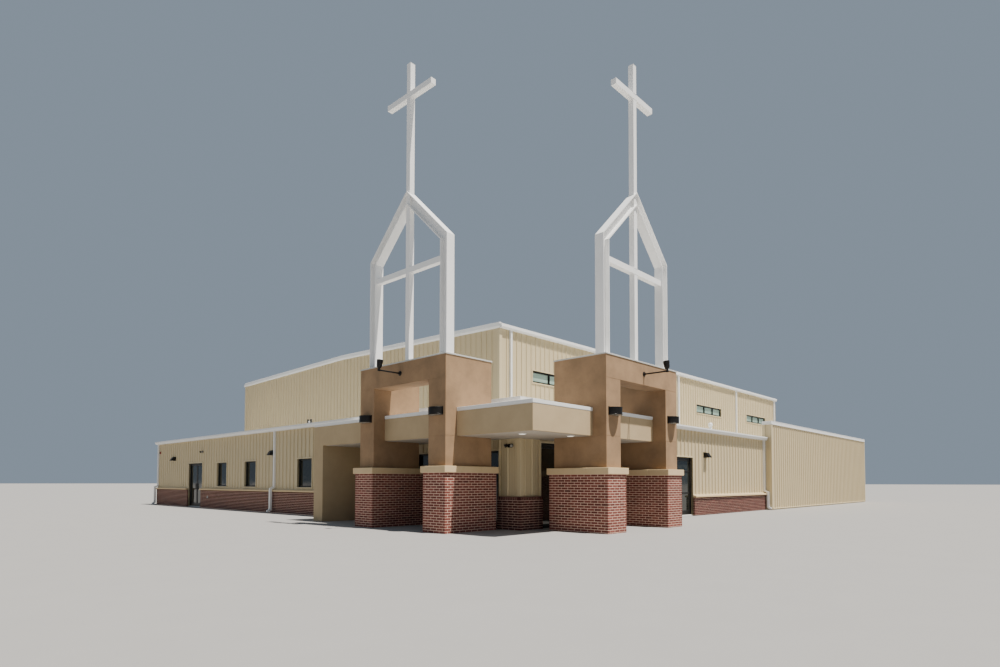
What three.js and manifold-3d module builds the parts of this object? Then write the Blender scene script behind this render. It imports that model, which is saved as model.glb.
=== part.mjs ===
// A modern church building: a tall gabled hall wrapped on two sides by a low building, with a corner
// entry behind two stucco towers on brick bases that carry white steel spires with crosses.
//
// Millimetres, +Z up. The working frame has its zero at the outer corner of the low building's walls,
// +X along the right front and +Y along the left front. The finished group is moved so that its zero
// is at the middle of the footprint on the ground.

import * as THREE from "three";
import { mergeVertices } from "three/addons/utils/BufferGeometryUtils.js";
import Module from "manifold-3d";

const wasm = await Module();
wasm.setup();

// Plan of the walls
const WALL = 200;
const LENGTH_X = 35500;
const LENGTH_Y = 28050;
const HALL_X = 5080;
const HALL_Y = 5550;
const BLOCK_X = 17900;
const BLOCK_Y = -370;
const HALL_MIDDLE_Y = (HALL_Y + LENGTH_Y) / 2;

// Heights of the walls at their outer faces, where the roofs lie on them
const FLOOR_TOP = 50;
const HALL_EAVE = 7460;
const WING_EAVE = { left: 3480, right: 3360 };
const BLOCK_TOP = 4120;
const BLOCK_CAP = 170;
const ENTRY_TOP = 3450;
const HALL_GIRT = 3200;
const BLOCK_GIRT = 3300;
const HALL_PITCH = 1 / 48;
const WING_PITCH = 1 / 24;
const SLOPE_GAP = 0.5;

// Roofs and their edges
const HALL_ROOF_THICK = 170;
const WING_ROOF_THICK = 120;
const ENTRY_ROOF_THICK = 200;
const ROOF_LIP = 50;
const WING_LIP = 10;
const GUTTER_DEEP = 120;
const LOW_GUTTER_DEEP = 220;
const LOW_GUTTER = {
  left: [WING_EAVE.left - 10, WING_EAVE.left + 140],
  right: [WING_EAVE.right - 10, WING_EAVE.right + 140],
};
const HALL_GUTTER = [HALL_EAVE - 10, HALL_EAVE + 160];

// Downspouts: the low ones step out over the sill and turn out at the foot
const DOWNSPOUT = 100;
const LOW_SPOUTS = { left: [13900, 27980], right: [17840] };
const HALL_SPOUTS = [5700, 12700, 20030, 28200, 35250];
const SPOUT_OVER_SILL = 10;
const SPOUT_FOOT = [40, 140];
const SPOUT_LAP = 8;
const SPOUT_OVER_ROOF = 200;
const SPOUT_OFF_GROUND = 60;

// Columns under the hall walls
const COLUMN = 300;
const HALL_BAYS_X = [12700, 20320, 27940];
const HALL_BAYS_Y = [13117, 20483];

// Doors and windows
const DOOR_HEAD = 2290;
const LEFT_DOOR = [21650, 23450];
const RIGHT_DOOR = [8940, 10310];
const LEFT_WINDOWS = { near: 11450, middle: 16250, far: 19300 };
const WINDOW_WIDTH = 1140;
const WINDOW_SILL = 1100;
const WINDOW_HEAD = 2250;
const HALL_WINDOWS = [8850, 16500, 24100, 31750];
const HALL_WINDOW_WIDTH = 3500;
const HALL_WINDOW_SILL = 5520;
const HALL_WINDOW_HEAD = 6020;
const LEFT_STOREFRONT = { span: [780, 4370], head: 2200, mullions: [1680, 2575, 3470], transoms: [] };
const RIGHT_STOREFRONT = { span: [870, 4200], head: 2430, mullions: [1700, 2535, 3370], transoms: [2315] };
const FRAME_BAR = 50;
const FRAME_OUTER = 50;
const FRAME_INNER = 160;
const PANE = 24;

// Door leaves and their hinges
const LEAF_OUTER = 65;
const LEAF_THICK = 45;
const LEAF_SIDE_GAP = 8;
const LEAF_MEETING_GAP = 12;
const LEAF_BOTTOM = 60;
const LEAF_TOP = 2220;
const DOOR_HEAD_BAR = 60;
const STILE = 70;
const BOTTOM_RAIL = 160;
const HINGE_PIVOT_DEPTH = 38;
const HINGE_RADIUS = 9;
const HINGE_HEIGHT = 50;
const HINGE_LEVELS = [300, 1140, 1980];
const HINGE_SEAT_GAP = 0.5;
const HINGE_PLATE = [4, 14];
const HINGE_PLATE_LAP = 4;
const GLASS_IN_LEAF = 40;
const GLASS_IN_FRAME = 10;

// Brick wainscot
const BRICK_OUT = 100;
const BRICK_TOP = { left: 900, right: 720 };
const SILL_OUT = 160;
const SILL_TOP = { left: 990, right: 810 };
const ENTRY_BRICK_TOP = 910;

// Towers, in a frame with its zero at the front left foot, x along the front and y to the back
const TOWER_WIDTH = 3780;
const TOWER_DEPTH = 1690;
const TOWER_TOP = 4650;
const TOWER_START = 630;
const LEFT_TOWER_FRONT = -2170;
const RIGHT_TOWER_FRONT = -2380;
const LEG = 670;
const HEADER_DEPTH = 620;
const HEADER_SOFFIT = 4010;
const BASE_OUT = 100;
const BASE_BRICK_TOP = { left: 1550, right: 1510 };
const BASE_CAP_OUT = 150;
const BASE_CAP_TOP = { left: 1725, right: 1685 };

// Canopy
const CANOPY_SOFFIT = 2520;
const CANOPY_FASCIA_TOP = 3155;
const CANOPY_TOP = 3260;
const CANOPY_LIP = 10;
const LEFT_FASCIA = -1775;
const RIGHT_FASCIA = -1950;
const PORTAL = [7150, 7700];

// Spires
const SPIRE_INSET = 180;
const SPIRE_SECTION = 270;
const SPIRE_FLANGE = 22;
const SPIRE_WEB = 14;
const SPIRE_KNEE = 7880;
const SPIRE_APEX = 9530;
const SPIRE_BASE_PLATE = 25;
const SPIRE_TUBE = 160;
const CROSSBAR_MIDDLE = 7270;
const MAST_TOP = 13250;
const CROSS_ARM_MIDDLE = 12330;
const CROSS_ARM_LENGTH = 1950;

// Lights on the towers
const LIGHT = { width: 460, deep: 230, up: [3050, 3250], sides: 12 };
const SPOT_REACH = 790;
const SPOT_ARM_LEVEL = 4320;
const SPOT_ARM_RADIUS = 22;
const SPOT_HEAD_RADIUS = 75;
const SPOT_HEAD_LENGTH = 210;
const SPOT_HEAD_TILT = 0.5;
const SPOT_HEAD_TAPER = 0.7;
const SPOT_BLOCK = 80;
const SPOT_PLATE = { width: 120, height: 140, thick: 25 };

const finish = (color, roughness, metalness) =>
  new THREE.MeshStandardMaterial({ color, roughness, metalness });
const PANEL = finish(0xc9bd9d, 0.55, 0.2);
const TRIM = finish(0xe8e8e4, 0.45, 0.2);
const STUCCO = finish(0xa4866a, 0.9, 0);
const PALE_STUCCO = finish(0xb3a484, 0.9, 0);
const BRICK = finish(0x74443a, 0.85, 0);
const DARK_FRAME = finish(0x201d1b, 0.4, 0.5);
const GLASS = finish(0x8fa5a3, 0.1, 0);
const WHITE_STEEL = finish(0xf1f1ef, 0.4, 0.3);
const CONCRETE = finish(0xb9b5ad, 0.9, 0);
const ROOF = finish(0xd5d5cf, 0.5, 0.3);

// Closed geometries in the working frame
const block = ([x0, x1], [y0, y1], [z0, z1]) =>
  new THREE.BoxGeometry(x1 - x0, y1 - y0, z1 - z0).translate(
    (x0 + x1) / 2,
    (y0 + y1) / 2,
    (z0 + z1) / 2,
  );

// The stretch of one width about a middle
const around = (middle, width) => [middle - width / 2, middle + width / 2];

// A box on a wall: "left" faces -X and "right" faces -Y; out is measured away from the wall's face.
const onWall = (side, along, [out0, out1], up) =>
  side === "left" ? block([-out1, -out0], along, up) : block(along, [-out1, -out0], up);

const shape = (points) => new THREE.Shape(points.map(([a, b]) => new THREE.Vector2(a, b)));

const extruded = (outline, depth) =>
  new THREE.ExtrudeGeometry(outline, { depth, bevelEnabled: false });

// Outlines drawn in y and z, in x and z, or in plan, extruded along the third axis
const alongX = (outline, [x0, x1]) =>
  extruded(outline, x1 - x0)
    .applyMatrix4(
      new THREE.Matrix4().makeBasis(
        new THREE.Vector3(0, 1, 0),
        new THREE.Vector3(0, 0, 1),
        new THREE.Vector3(1, 0, 0),
      ),
    )
    .translate(x0, 0, 0);

const alongY = (outline, [y0, y1]) =>
  extruded(outline, y1 - y0)
    .applyMatrix4(
      new THREE.Matrix4().makeBasis(
        new THREE.Vector3(1, 0, 0),
        new THREE.Vector3(0, 0, 1),
        new THREE.Vector3(0, -1, 0),
      ),
    )
    .translate(0, y1, 0);

const alongZ = (outline, [z0, z1]) => extruded(outline, z1 - z0).translate(0, 0, z0);

// A prism through the thickness of a wall, from a rectangle in the wall's plane
const throughWall = (side, along, up, [depth0, depth1]) =>
  side === "left" ? block([depth0, depth1], along, up) : block(along, [depth0, depth1], up);

// Joins and cuts
function solidOf(geometry) {
  const bare = geometry.clone();
  bare.deleteAttribute("normal");
  bare.deleteAttribute("uv");
  const merged = mergeVertices(bare, 1e-3);
  return new wasm.Manifold(
    new wasm.Mesh({
      numProp: 3,
      vertProperties: new Float32Array(merged.attributes.position.array),
      triVerts: new Uint32Array(merged.index.array),
    }),
  );
}

function geometryOf(solid) {
  const mesh = solid.getMesh();
  const positions = new Float32Array(mesh.numVert * 3);
  for (let i = 0; i < mesh.numVert; i++)
    positions.set(mesh.vertProperties.subarray(i * mesh.numProp, i * mesh.numProp + 3), i * 3);
  const geometry = new THREE.BufferGeometry()
    .setAttribute("position", new THREE.BufferAttribute(positions, 3))
    .setIndex(new THREE.BufferAttribute(new Uint32Array(mesh.triVerts), 1));
  geometry.computeVertexNormals();
  return geometry;
}

const joined = (...geometries) =>
  geometryOf(geometries.map(solidOf).reduce((whole, next) => whole.add(next)));

const cut = (geometry, ...tools) =>
  geometryOf(tools.map(solidOf).reduce((rest, tool) => rest.subtract(tool), solidOf(geometry)));

function add(group, name, geometry, material) {
  const mesh = new THREE.Mesh(geometry, material);
  mesh.name = name;
  group.add(mesh);
  return mesh;
}

// Undersides of the sloping roofs
const hallUnderside = (y) => HALL_EAVE + HALL_PITCH * Math.min(y - HALL_Y, LENGTH_Y - y);
const wingUnderside = (side) => (inward) => WING_EAVE[side] + WING_PITCH * inward;

const building = new THREE.Group();
const walls = new THREE.Group();
const roofs = new THREE.Group();
const openings = new THREE.Group();
const entry = new THREE.Group();
building.add(walls, roofs, openings, entry);

function addFloor() {
  const inner = LENGTH_X - WALL;
  const outline = shape([
    [WALL, WALL],
    [BLOCK_X + WALL, WALL],
    [BLOCK_X + WALL, BLOCK_Y + WALL],
    [inner, BLOCK_Y + WALL],
    [inner, LENGTH_Y - WALL],
    [WALL, LENGTH_Y - WALL],
  ]);
  add(walls, "floor_slab", alongZ(outline, [0, FLOOR_TOP]), CONCRETE);
}

// The low walls step from the wing's eave to the entry's top at the hall's line.
function addLowWalls() {
  const leftTop = WING_EAVE.left - SLOPE_GAP;
  const rightTop = WING_EAVE.right - SLOPE_GAP;
  const through = [-1, WALL + 1];
  const hole = (side, span, up) => throughWall(side, span, up, through);
  const windows = Object.values(LEFT_WINDOWS).map((middle) =>
    hole("left", around(middle, WINDOW_WIDTH), [WINDOW_SILL, WINDOW_HEAD]),
  );
  const stepped = (start, step, end, top) => [
    [start, 0],
    [end, 0],
    [end, top],
    [step, top],
    [step, ENTRY_TOP],
    [start, ENTRY_TOP],
  ];
  const [leftNear, leftFar] = LEFT_DOOR;
  const [rightNear, rightFar] = RIGHT_DOOR;
  const leftStore = hole("left", LEFT_STOREFRONT.span, [-1, LEFT_STOREFRONT.head]);
  const rightStore = hole("right", RIGHT_STOREFRONT.span, [-1, RIGHT_STOREFRONT.head]);
  const leftNearWall = alongX(shape(stepped(0, HALL_Y, leftNear, leftTop)), [0, WALL]);
  const rightNearWall = alongY(shape(stepped(WALL, HALL_X, rightNear, rightTop)), [0, WALL]);
  add(walls, "left_wall_near", cut(leftNearWall, leftStore, ...windows), PANEL);
  add(walls, "left_wall_over_door", block([0, WALL], LEFT_DOOR, [DOOR_HEAD, leftTop]), PANEL);
  add(walls, "left_wall_far", block([0, WALL], [leftFar, LENGTH_Y - WALL], [0, leftTop]), PANEL);
  add(walls, "right_wall_near", cut(rightNearWall, rightStore), PANEL);
  add(walls, "right_wall_over_door", block(RIGHT_DOOR, [0, WALL], [DOOR_HEAD, rightTop]), PANEL);
  add(walls, "right_wall_far", block([rightFar, BLOCK_X], [0, WALL], [0, rightTop]), PANEL);
}

// The right block's front wall, thick enough above the wing's roof to hide it, and its return to the wing
function addBlockWall() {
  const inner = BLOCK_Y + WALL;
  const front = shape([
    [BLOCK_Y, 0],
    [inner, 0],
    [inner, BLOCK_GIRT],
    [0, BLOCK_GIRT],
    [0, BLOCK_TOP],
    [BLOCK_Y, BLOCK_TOP],
  ]);
  const side = block([BLOCK_X, BLOCK_X + WALL], [inner - 1, WALL], [0, BLOCK_GIRT + 1]);
  const wall = joined(alongX(front, [BLOCK_X, LENGTH_X - WALL]), side);
  add(walls, "right_block_wall", wall, PANEL);
}

// An outline of a wall that stands on columns below its girt
function onColumns(start, end, columns, top) {
  const points = [[start, FLOOR_TOP]];
  const edges = [start + COLUMN];
  for (const middle of columns) edges.push(middle - COLUMN / 2, middle + COLUMN / 2);
  edges.push(end - COLUMN);
  for (let i = 0; i < edges.length; i += 2)
    points.push(
      [edges[i], FLOOR_TOP],
      [edges[i], HALL_GIRT],
      [edges[i + 1], HALL_GIRT],
      [edges[i + 1], FLOOR_TOP],
    );
  points.push([end, FLOOR_TOP], ...top);
  return points;
}

function addHallWalls() {
  const under = (y) => hallUnderside(y) - SLOPE_GAP;
  const right = LENGTH_X - WALL;
  const eave = under(HALL_Y);
  const windows = (face) =>
    HALL_WINDOWS.map((middle) =>
      block(
        around(middle, HALL_WINDOW_WIDTH),
        [face - 1, face + WALL + 1],
        [HALL_WINDOW_SILL, HALL_WINDOW_HEAD],
      ),
    );
  const front = onColumns(HALL_X, right, HALL_BAYS_X, [
    [right, eave],
    [HALL_X, eave],
  ]);
  const near = HALL_Y + WALL;
  const far = LENGTH_Y - WALL;
  const gable = onColumns(near, far, HALL_BAYS_Y, [
    [far, under(far)],
    [HALL_MIDDLE_Y, under(HALL_MIDDLE_Y)],
    [near, under(near)],
  ]);
  const back = [
    [0, 0],
    [right, 0],
    [right, eave],
    [HALL_X, eave],
    [HALL_X, wingUnderside("left")(HALL_X) - SLOPE_GAP],
    [0, WING_EAVE.left - SLOPE_GAP],
  ];
  const end = [
    [BLOCK_Y, 0],
    [LENGTH_Y, 0],
    [LENGTH_Y, eave],
    [HALL_MIDDLE_Y, under(HALL_MIDDLE_Y)],
    [HALL_Y, eave],
    [HALL_Y, wingUnderside("right")(HALL_Y) - SLOPE_GAP],
    [0, WING_EAVE.right - SLOPE_GAP],
    [0, BLOCK_TOP],
    [BLOCK_Y, BLOCK_TOP],
  ];
  const frontWall = alongY(shape(front), [HALL_Y, near]);
  const backWall = alongY(shape(back), [far, LENGTH_Y]);
  add(walls, "hall_wall_front", cut(frontWall, ...windows(HALL_Y)), PANEL);
  add(walls, "hall_wall_left", alongX(shape(gable), [HALL_X, HALL_X + WALL]), PANEL);
  add(walls, "back_wall", cut(backWall, ...windows(far)), PANEL);
  add(walls, "end_wall", alongX(shape(end), [LENGTH_X - WALL, LENGTH_X]), PANEL);
}

// A roof's cross-section between two edges: its underside and the same line one thickness higher
function roofSection(edges, underside, thick) {
  const below = edges.map((edge) => [edge, underside(edge)]);
  const above = edges.map((edge) => [edge, underside(edge) + thick]).reverse();
  return shape([...below, ...above]);
}

function addRoofs() {
  const hallEdges = [HALL_Y - ROOF_LIP, HALL_MIDDLE_Y, LENGTH_Y + ROOF_LIP];
  const hall = roofSection(hallEdges, hallUnderside, HALL_ROOF_THICK);
  const overLeft = wingUnderside("left");
  const overRight = wingUnderside("right");
  const left = roofSection([-WING_LIP, HALL_X - SLOPE_GAP], overLeft, WING_ROOF_THICK);
  const right = roofSection([-WING_LIP, HALL_Y - SLOPE_GAP], overRight, WING_ROOF_THICK);
  const behind = roofSection([SLOPE_GAP, HALL_Y - SLOPE_GAP], overRight, WING_ROOF_THICK);
  const farX = LENGTH_X + ROOF_LIP;
  const capY = [BLOCK_Y - ROOF_LIP, ROOF_LIP];
  const capZ = [BLOCK_TOP, BLOCK_TOP + BLOCK_CAP];
  const entryBox = block(
    [-ROOF_LIP, HALL_X - SLOPE_GAP],
    [-ROOF_LIP, HALL_Y - SLOPE_GAP],
    [ENTRY_TOP, ENTRY_TOP + ENTRY_ROOF_THICK],
  );
  add(roofs, "hall_roof", alongX(hall, [HALL_X - ROOF_LIP, farX]), ROOF);
  add(roofs, "left_wing_roof", alongY(left, [HALL_Y + SLOPE_GAP, LENGTH_Y + ROOF_LIP]), ROOF);
  add(roofs, "right_wing_roof", alongX(right, [HALL_X + SLOPE_GAP, BLOCK_X - SLOPE_GAP]), ROOF);
  add(roofs, "right_block_roof", alongX(behind, [BLOCK_X + SLOPE_GAP, farX]), ROOF);
  add(roofs, "right_block_cap", block([BLOCK_X - ROOF_LIP, farX], capY, capZ), TRIM);
  add(roofs, "entry_roof", entryBox, ROOF);
}

// A downspout that steps out over the brick and turns out at its foot
function lowDownspout(side, middle) {
  const along = around(middle, DOWNSPOUT);
  const inner = SILL_OUT + SPOUT_LAP;
  const outer = inner + DOWNSPOUT;
  const elbow = [SILL_TOP[side] + SPOUT_OVER_SILL, SILL_TOP[side] + SPOUT_OVER_SILL + DOWNSPOUT];
  const upper = [elbow[0] + SPOUT_LAP, LOW_GUTTER[side][0] + SPOUT_LAP];
  const lower = [SPOUT_FOOT[0] + SPOUT_LAP, elbow[1] - SPOUT_LAP];
  return [
    onWall(side, along, [0, DOWNSPOUT], upper),
    onWall(side, along, [0, outer], elbow),
    onWall(side, along, [inner, outer], lower),
    onWall(side, along, [inner, outer + DOWNSPOUT], SPOUT_FOOT),
  ];
}

function addGutters() {
  const out = [WING_LIP, WING_LIP + LOW_GUTTER_DEEP];
  const spoutTop = HALL_GUTTER[0] + SPOUT_LAP;
  const frontFoot = wingUnderside("right")(HALL_Y) + SPOUT_OVER_ROOF;
  const hallSpout = (x, face, foot) => block(around(x, DOWNSPOUT), face, [foot, spoutTop]);
  const hallX = [HALL_X - ROOF_LIP, LENGTH_X + ROOF_LIP];
  const front = HALL_Y - ROOF_LIP;
  const back = LENGTH_Y + ROOF_LIP;
  add(
    roofs,
    "left_gutter",
    joined(
      onWall("left", [HALL_Y + SLOPE_GAP, LENGTH_Y + ROOF_LIP], out, LOW_GUTTER.left),
      ...LOW_SPOUTS.left.flatMap((y) => lowDownspout("left", y)),
    ),
    TRIM,
  );
  add(
    roofs,
    "right_gutter",
    joined(
      onWall("right", [HALL_X + SLOPE_GAP, BLOCK_X - SLOPE_GAP], out, LOW_GUTTER.right),
      ...LOW_SPOUTS.right.flatMap((x) => lowDownspout("right", x)),
    ),
    TRIM,
  );
  add(
    roofs,
    "hall_gutter_front",
    joined(
      block(hallX, [front - GUTTER_DEEP, front], HALL_GUTTER),
      ...HALL_SPOUTS.map((x) => hallSpout(x, [HALL_Y - DOWNSPOUT, HALL_Y], frontFoot)),
    ),
    TRIM,
  );
  add(
    roofs,
    "hall_gutter_back",
    joined(
      block(hallX, [back, back + GUTTER_DEEP], HALL_GUTTER),
      ...HALL_SPOUTS.map((x) => hallSpout(x, [LENGTH_Y, LENGTH_Y + DOWNSPOUT], SPOUT_OFF_GROUND)),
    ),
    TRIM,
  );
}

// Brick against the foot of the low walls, with a cast sill on top
function addWainscots() {
  const strip = (name, side, along) =>
    add(
      walls,
      name,
      joined(
        onWall(side, along, [0, BRICK_OUT], [0, BRICK_TOP[side] + 5]),
        onWall(side, along, [0, SILL_OUT], [BRICK_TOP[side], SILL_TOP[side]]),
      ),
      BRICK,
    );
  const clear = 30;
  strip("left_wainscot_near", "left", [LEFT_STOREFRONT.span[1] + clear, LEFT_DOOR[0]]);
  strip("left_wainscot_far", "left", [LEFT_DOOR[1], LENGTH_Y]);
  strip("right_wainscot_near", "right", [RIGHT_STOREFRONT.span[1] + clear, RIGHT_DOOR[0]]);
  strip("right_wainscot_far", "right", [RIGHT_DOOR[1], BLOCK_X]);
  const corner = shape([
    [-BRICK_OUT, -BRICK_OUT],
    [RIGHT_STOREFRONT.span[0], -BRICK_OUT],
    [RIGHT_STOREFRONT.span[0], 0],
    [0, 0],
    [0, LEFT_STOREFRONT.span[0]],
    [-BRICK_OUT, LEFT_STOREFRONT.span[0]],
  ]);
  add(walls, "entry_wainscot", alongZ(corner, [0, ENTRY_BRICK_TOP]), BRICK);
}

// A frame of bars around panes: its outline in the wall's plane, with a thin sheet of glass inside
function glazed(side, [a0, a1], [z0, z1], mullions, transoms) {
  const columns = [a0, ...mullions, a1];
  const rows = [z0, ...transoms, z1];
  const half = FRAME_BAR / 2;
  const inner = (edges, i) => [
    edges[i] + (i === 0 ? FRAME_BAR : half),
    edges[i + 1] - (i + 2 === edges.length ? FRAME_BAR : half),
  ];
  const panes = [];
  const through = [FRAME_OUTER - 1, FRAME_INNER + 1];
  for (let i = 0; i + 1 < columns.length; i++)
    for (let j = 0; j + 1 < rows.length; j++)
      panes.push(throughWall(side, inner(columns, i), inner(rows, j), through));
  const bars = cut(throughWall(side, [a0, a1], [z0, z1], [FRAME_OUTER, FRAME_INNER]), ...panes);
  const sheet = around((FRAME_OUTER + FRAME_INNER) / 2, PANE);
  const lap = GLASS_IN_FRAME;
  return joined(bars, throughWall(side, [a0 + lap, a1 - lap], [z0 + lap, z1 - lap], sheet));
}

function addGlazing() {
  for (const [place, middle] of Object.entries(LEFT_WINDOWS)) {
    const span = around(middle, WINDOW_WIDTH);
    const window = glazed("left", span, [WINDOW_SILL, WINDOW_HEAD], [], []);
    add(openings, "left_window_" + place, window, DARK_FRAME);
  }
  for (const [side, front] of [
    ["left", LEFT_STOREFRONT],
    ["right", RIGHT_STOREFRONT],
  ]) {
    const store = glazed(side, front.span, [0, front.head], front.mullions, front.transoms);
    add(openings, side + "_storefront", store, DARK_FRAME);
  }
  const lap = 100;
  const sheetX = [
    HALL_WINDOWS[0] - HALL_WINDOW_WIDTH / 2 - lap,
    HALL_WINDOWS.at(-1) + HALL_WINDOW_WIDTH / 2 + lap,
  ];
  const sheetZ = [HALL_WINDOW_SILL - lap, HALL_WINDOW_HEAD + lap];
  const front = HALL_Y + WALL;
  const back = LENGTH_Y - WALL;
  add(openings, "hall_glass_front", block(sheetX, [front, front + PANE], sheetZ), GLASS);
  add(openings, "hall_glass_back", block(sheetX, [back - PANE, back], sheetZ), GLASS);
}

// A hinge axis stands outside the leaf's face, beside the jamb. way is the direction from it to the leaf.
const pivotOf = (jamb, way) => jamb + way * (LEAF_SIDE_GAP / 2);
const between = (a, b) => [Math.min(a, b), Math.max(a, b)];

function knuckle(side, along, z0) {
  const round = new THREE.CylinderGeometry(HINGE_RADIUS, HINGE_RADIUS, HINGE_HEIGHT, 12)
    .rotateX(Math.PI / 2)
    .translate(0, 0, z0 + HINGE_HEIGHT / 2);
  return side === "left"
    ? round.translate(HINGE_PIVOT_DEPTH, along, 0)
    : round.translate(along, HINGE_PIVOT_DEPTH, 0);
}

function addDoorFrame(side, [a0, a1], hinges) {
  const clear = throughWall(
    side,
    [a0 + FRAME_BAR, a1 - FRAME_BAR],
    [FLOOR_TOP, DOOR_HEAD - DOOR_HEAD_BAR],
    [FRAME_OUTER - 1, FRAME_INNER + 1],
  );
  const whole = throughWall(side, [a0, a1], [0, DOOR_HEAD], [FRAME_OUTER, FRAME_INNER]);
  const pieces = [cut(whole, clear)];
  for (const [jamb, way] of hinges)
    for (const level of HINGE_LEVELS) {
      const pivot = pivotOf(jamb, way);
      const plate = between(pivot - way * HINGE_PLATE[0], pivot - way * HINGE_PLATE[1]);
      const out = [-FRAME_OUTER - HINGE_PLATE_LAP, -HINGE_PIVOT_DEPTH + HINGE_PLATE_LAP];
      pieces.push(knuckle(side, pivot, level));
      pieces.push(onWall(side, plate, out, [level, level + HINGE_HEIGHT]));
    }
  add(openings, side + "_door_frame", joined(...pieces), DARK_FRAME);
}

// A glazed leaf, made in place and then moved so that its mesh stands at the hinge axis
function addDoorLeaf(side, name, jamb, way, width) {
  const edge = jamb + way * LEAF_SIDE_GAP;
  const [a0, a1] = between(edge, edge + way * width);
  const depth = [LEAF_OUTER, LEAF_OUTER + LEAF_THICK];
  const light = throughWall(
    side,
    [a0 + STILE, a1 - STILE],
    [LEAF_BOTTOM + BOTTOM_RAIL, LEAF_TOP - STILE],
    [depth[0] - 1, depth[1] + 1],
  );
  const sheet = around((depth[0] + depth[1]) / 2, PANE / 2);
  const pivot = pivotOf(jamb, way);
  const lap = GLASS_IN_LEAF;
  const pieces = [
    cut(throughWall(side, [a0, a1], [LEAF_BOTTOM, LEAF_TOP], depth), light),
    throughWall(side, [a0 + lap, a1 - lap], [LEAF_BOTTOM + lap, LEAF_TOP - lap], sheet),
  ];
  for (const level of HINGE_LEVELS) {
    const seat = level + HINGE_HEIGHT + HINGE_SEAT_GAP;
    const plate = between(pivot + way * HINGE_PLATE[0], pivot + way * HINGE_PLATE[1]);
    const out = [-LEAF_OUTER - HINGE_PLATE_LAP, -HINGE_PIVOT_DEPTH + HINGE_PLATE_LAP];
    pieces.push(knuckle(side, pivot, seat));
    pieces.push(onWall(side, plate, out, [seat, seat + HINGE_HEIGHT]));
  }
  const axis =
    side === "left"
      ? new THREE.Vector3(HINGE_PIVOT_DEPTH, pivot, 0)
      : new THREE.Vector3(pivot, HINGE_PIVOT_DEPTH, 0);
  const leaf = joined(...pieces).translate(-axis.x, -axis.y, 0);
  add(openings, name, leaf, DARK_FRAME).position.copy(axis);
}

function addDoors() {
  const [l0, l1] = LEFT_DOOR.map((a, i) => (i === 0 ? a + FRAME_BAR : a - FRAME_BAR));
  const [r0, r1] = RIGHT_DOOR.map((a, i) => (i === 0 ? a + FRAME_BAR : a - FRAME_BAR));
  const leafWidth = (l1 - l0 - 2 * LEAF_SIDE_GAP - LEAF_MEETING_GAP) / 2;
  addDoorFrame("left", LEFT_DOOR, [
    [l0, 1],
    [l1, -1],
  ]);
  addDoorLeaf("left", "left_door_leaf_near", l0, 1, leafWidth);
  addDoorLeaf("left", "left_door_leaf_far", l1, -1, leafWidth);
  addDoorFrame("right", RIGHT_DOOR, [[r1, -1]]);
  addDoorLeaf("right", "right_door_leaf", r1, -1, r1 - r0 - 2 * LEAF_SIDE_GAP);
}

// The canopy in plan: an L along both fronts, notched round the tower legs that pass through it
function canopyOutline(lip, endY) {
  const near = [TOWER_START, TOWER_START + LEG];
  const far = [TOWER_START + TOWER_WIDTH - LEG, TOWER_START + TOWER_WIDTH];
  const left = LEFT_FASCIA - lip;
  const right = RIGHT_FASCIA - lip;
  const behindLeft = LEFT_TOWER_FRONT + TOWER_DEPTH;
  const behindRight = RIGHT_TOWER_FRONT + TOWER_DEPTH;
  return shape([
    [left, right],
    [near[0], right],
    [near[0], behindRight],
    [near[1], behindRight],
    [near[1], right],
    [far[0], right],
    [far[0], 0],
    [0, 0],
    [0, endY],
    [left, endY],
    [left, far[1]],
    [behindLeft, far[1]],
    [behindLeft, far[0]],
    [left, far[0]],
    [left, near[1]],
    [behindLeft, near[1]],
    [behindLeft, near[0]],
    [left, near[0]],
  ]);
}

function addCanopy() {
  const deck = alongZ(canopyOutline(0, PORTAL[0]), [CANOPY_SOFFIT, CANOPY_FASCIA_TOP]);
  const cap = canopyOutline(CANOPY_LIP, PORTAL[1] + CANOPY_LIP);
  const pier = shape([
    [LEFT_FASCIA, 0],
    [-SILL_OUT, 0],
    [-SILL_OUT, SILL_TOP.left],
    [0, SILL_TOP.left],
    [0, CANOPY_FASCIA_TOP],
    [LEFT_FASCIA, CANOPY_FASCIA_TOP],
  ]);
  add(entry, "canopy_deck", deck, PALE_STUCCO);
  add(entry, "canopy_cap", alongZ(cap, [CANOPY_FASCIA_TOP, CANOPY_TOP]), TRIM);
  add(entry, "portal_wall", alongY(pier, PORTAL), PALE_STUCCO);
}

// A brick base with a cast cap, under one leg of a tower
function towerBase(side, x) {
  const footprint = (out, z) =>
    block([x - out, x + LEG + out], [-out, TOWER_DEPTH + out], z);
  return joined(
    footprint(BASE_OUT, [0, BASE_BRICK_TOP[side] + 5]),
    footprint(BASE_CAP_OUT, [BASE_BRICK_TOP[side], BASE_CAP_TOP[side]]),
  );
}

function towerBody(side) {
  const legs = [0, TOWER_WIDTH - LEG].map((x) =>
    block([x, x + LEG], [0, TOWER_DEPTH], [BASE_CAP_TOP[side], TOWER_TOP]),
  );
  const header = block(
    [LEG - 50, TOWER_WIDTH - LEG + 50],
    [0, HEADER_DEPTH],
    [HEADER_SOFFIT, TOWER_TOP],
  );
  return joined(...legs, header);
}

// The house-shaped line of a spire, moved inwards by a distance from its outer faces
function spireLine(inward, bottom) {
  const left = SPIRE_INSET;
  const middle = TOWER_WIDTH / 2;
  const slope = (SPIRE_APEX - SPIRE_KNEE) / (middle - left);
  const drop = inward * Math.hypot(1, slope);
  return [
    [left + inward, bottom],
    [left + inward, SPIRE_KNEE + slope * inward - drop],
    [middle, SPIRE_APEX - drop],
    [TOWER_WIDTH - left - inward, SPIRE_KNEE + slope * inward - drop],
    [TOWER_WIDTH - left - inward, bottom],
  ];
}

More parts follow.
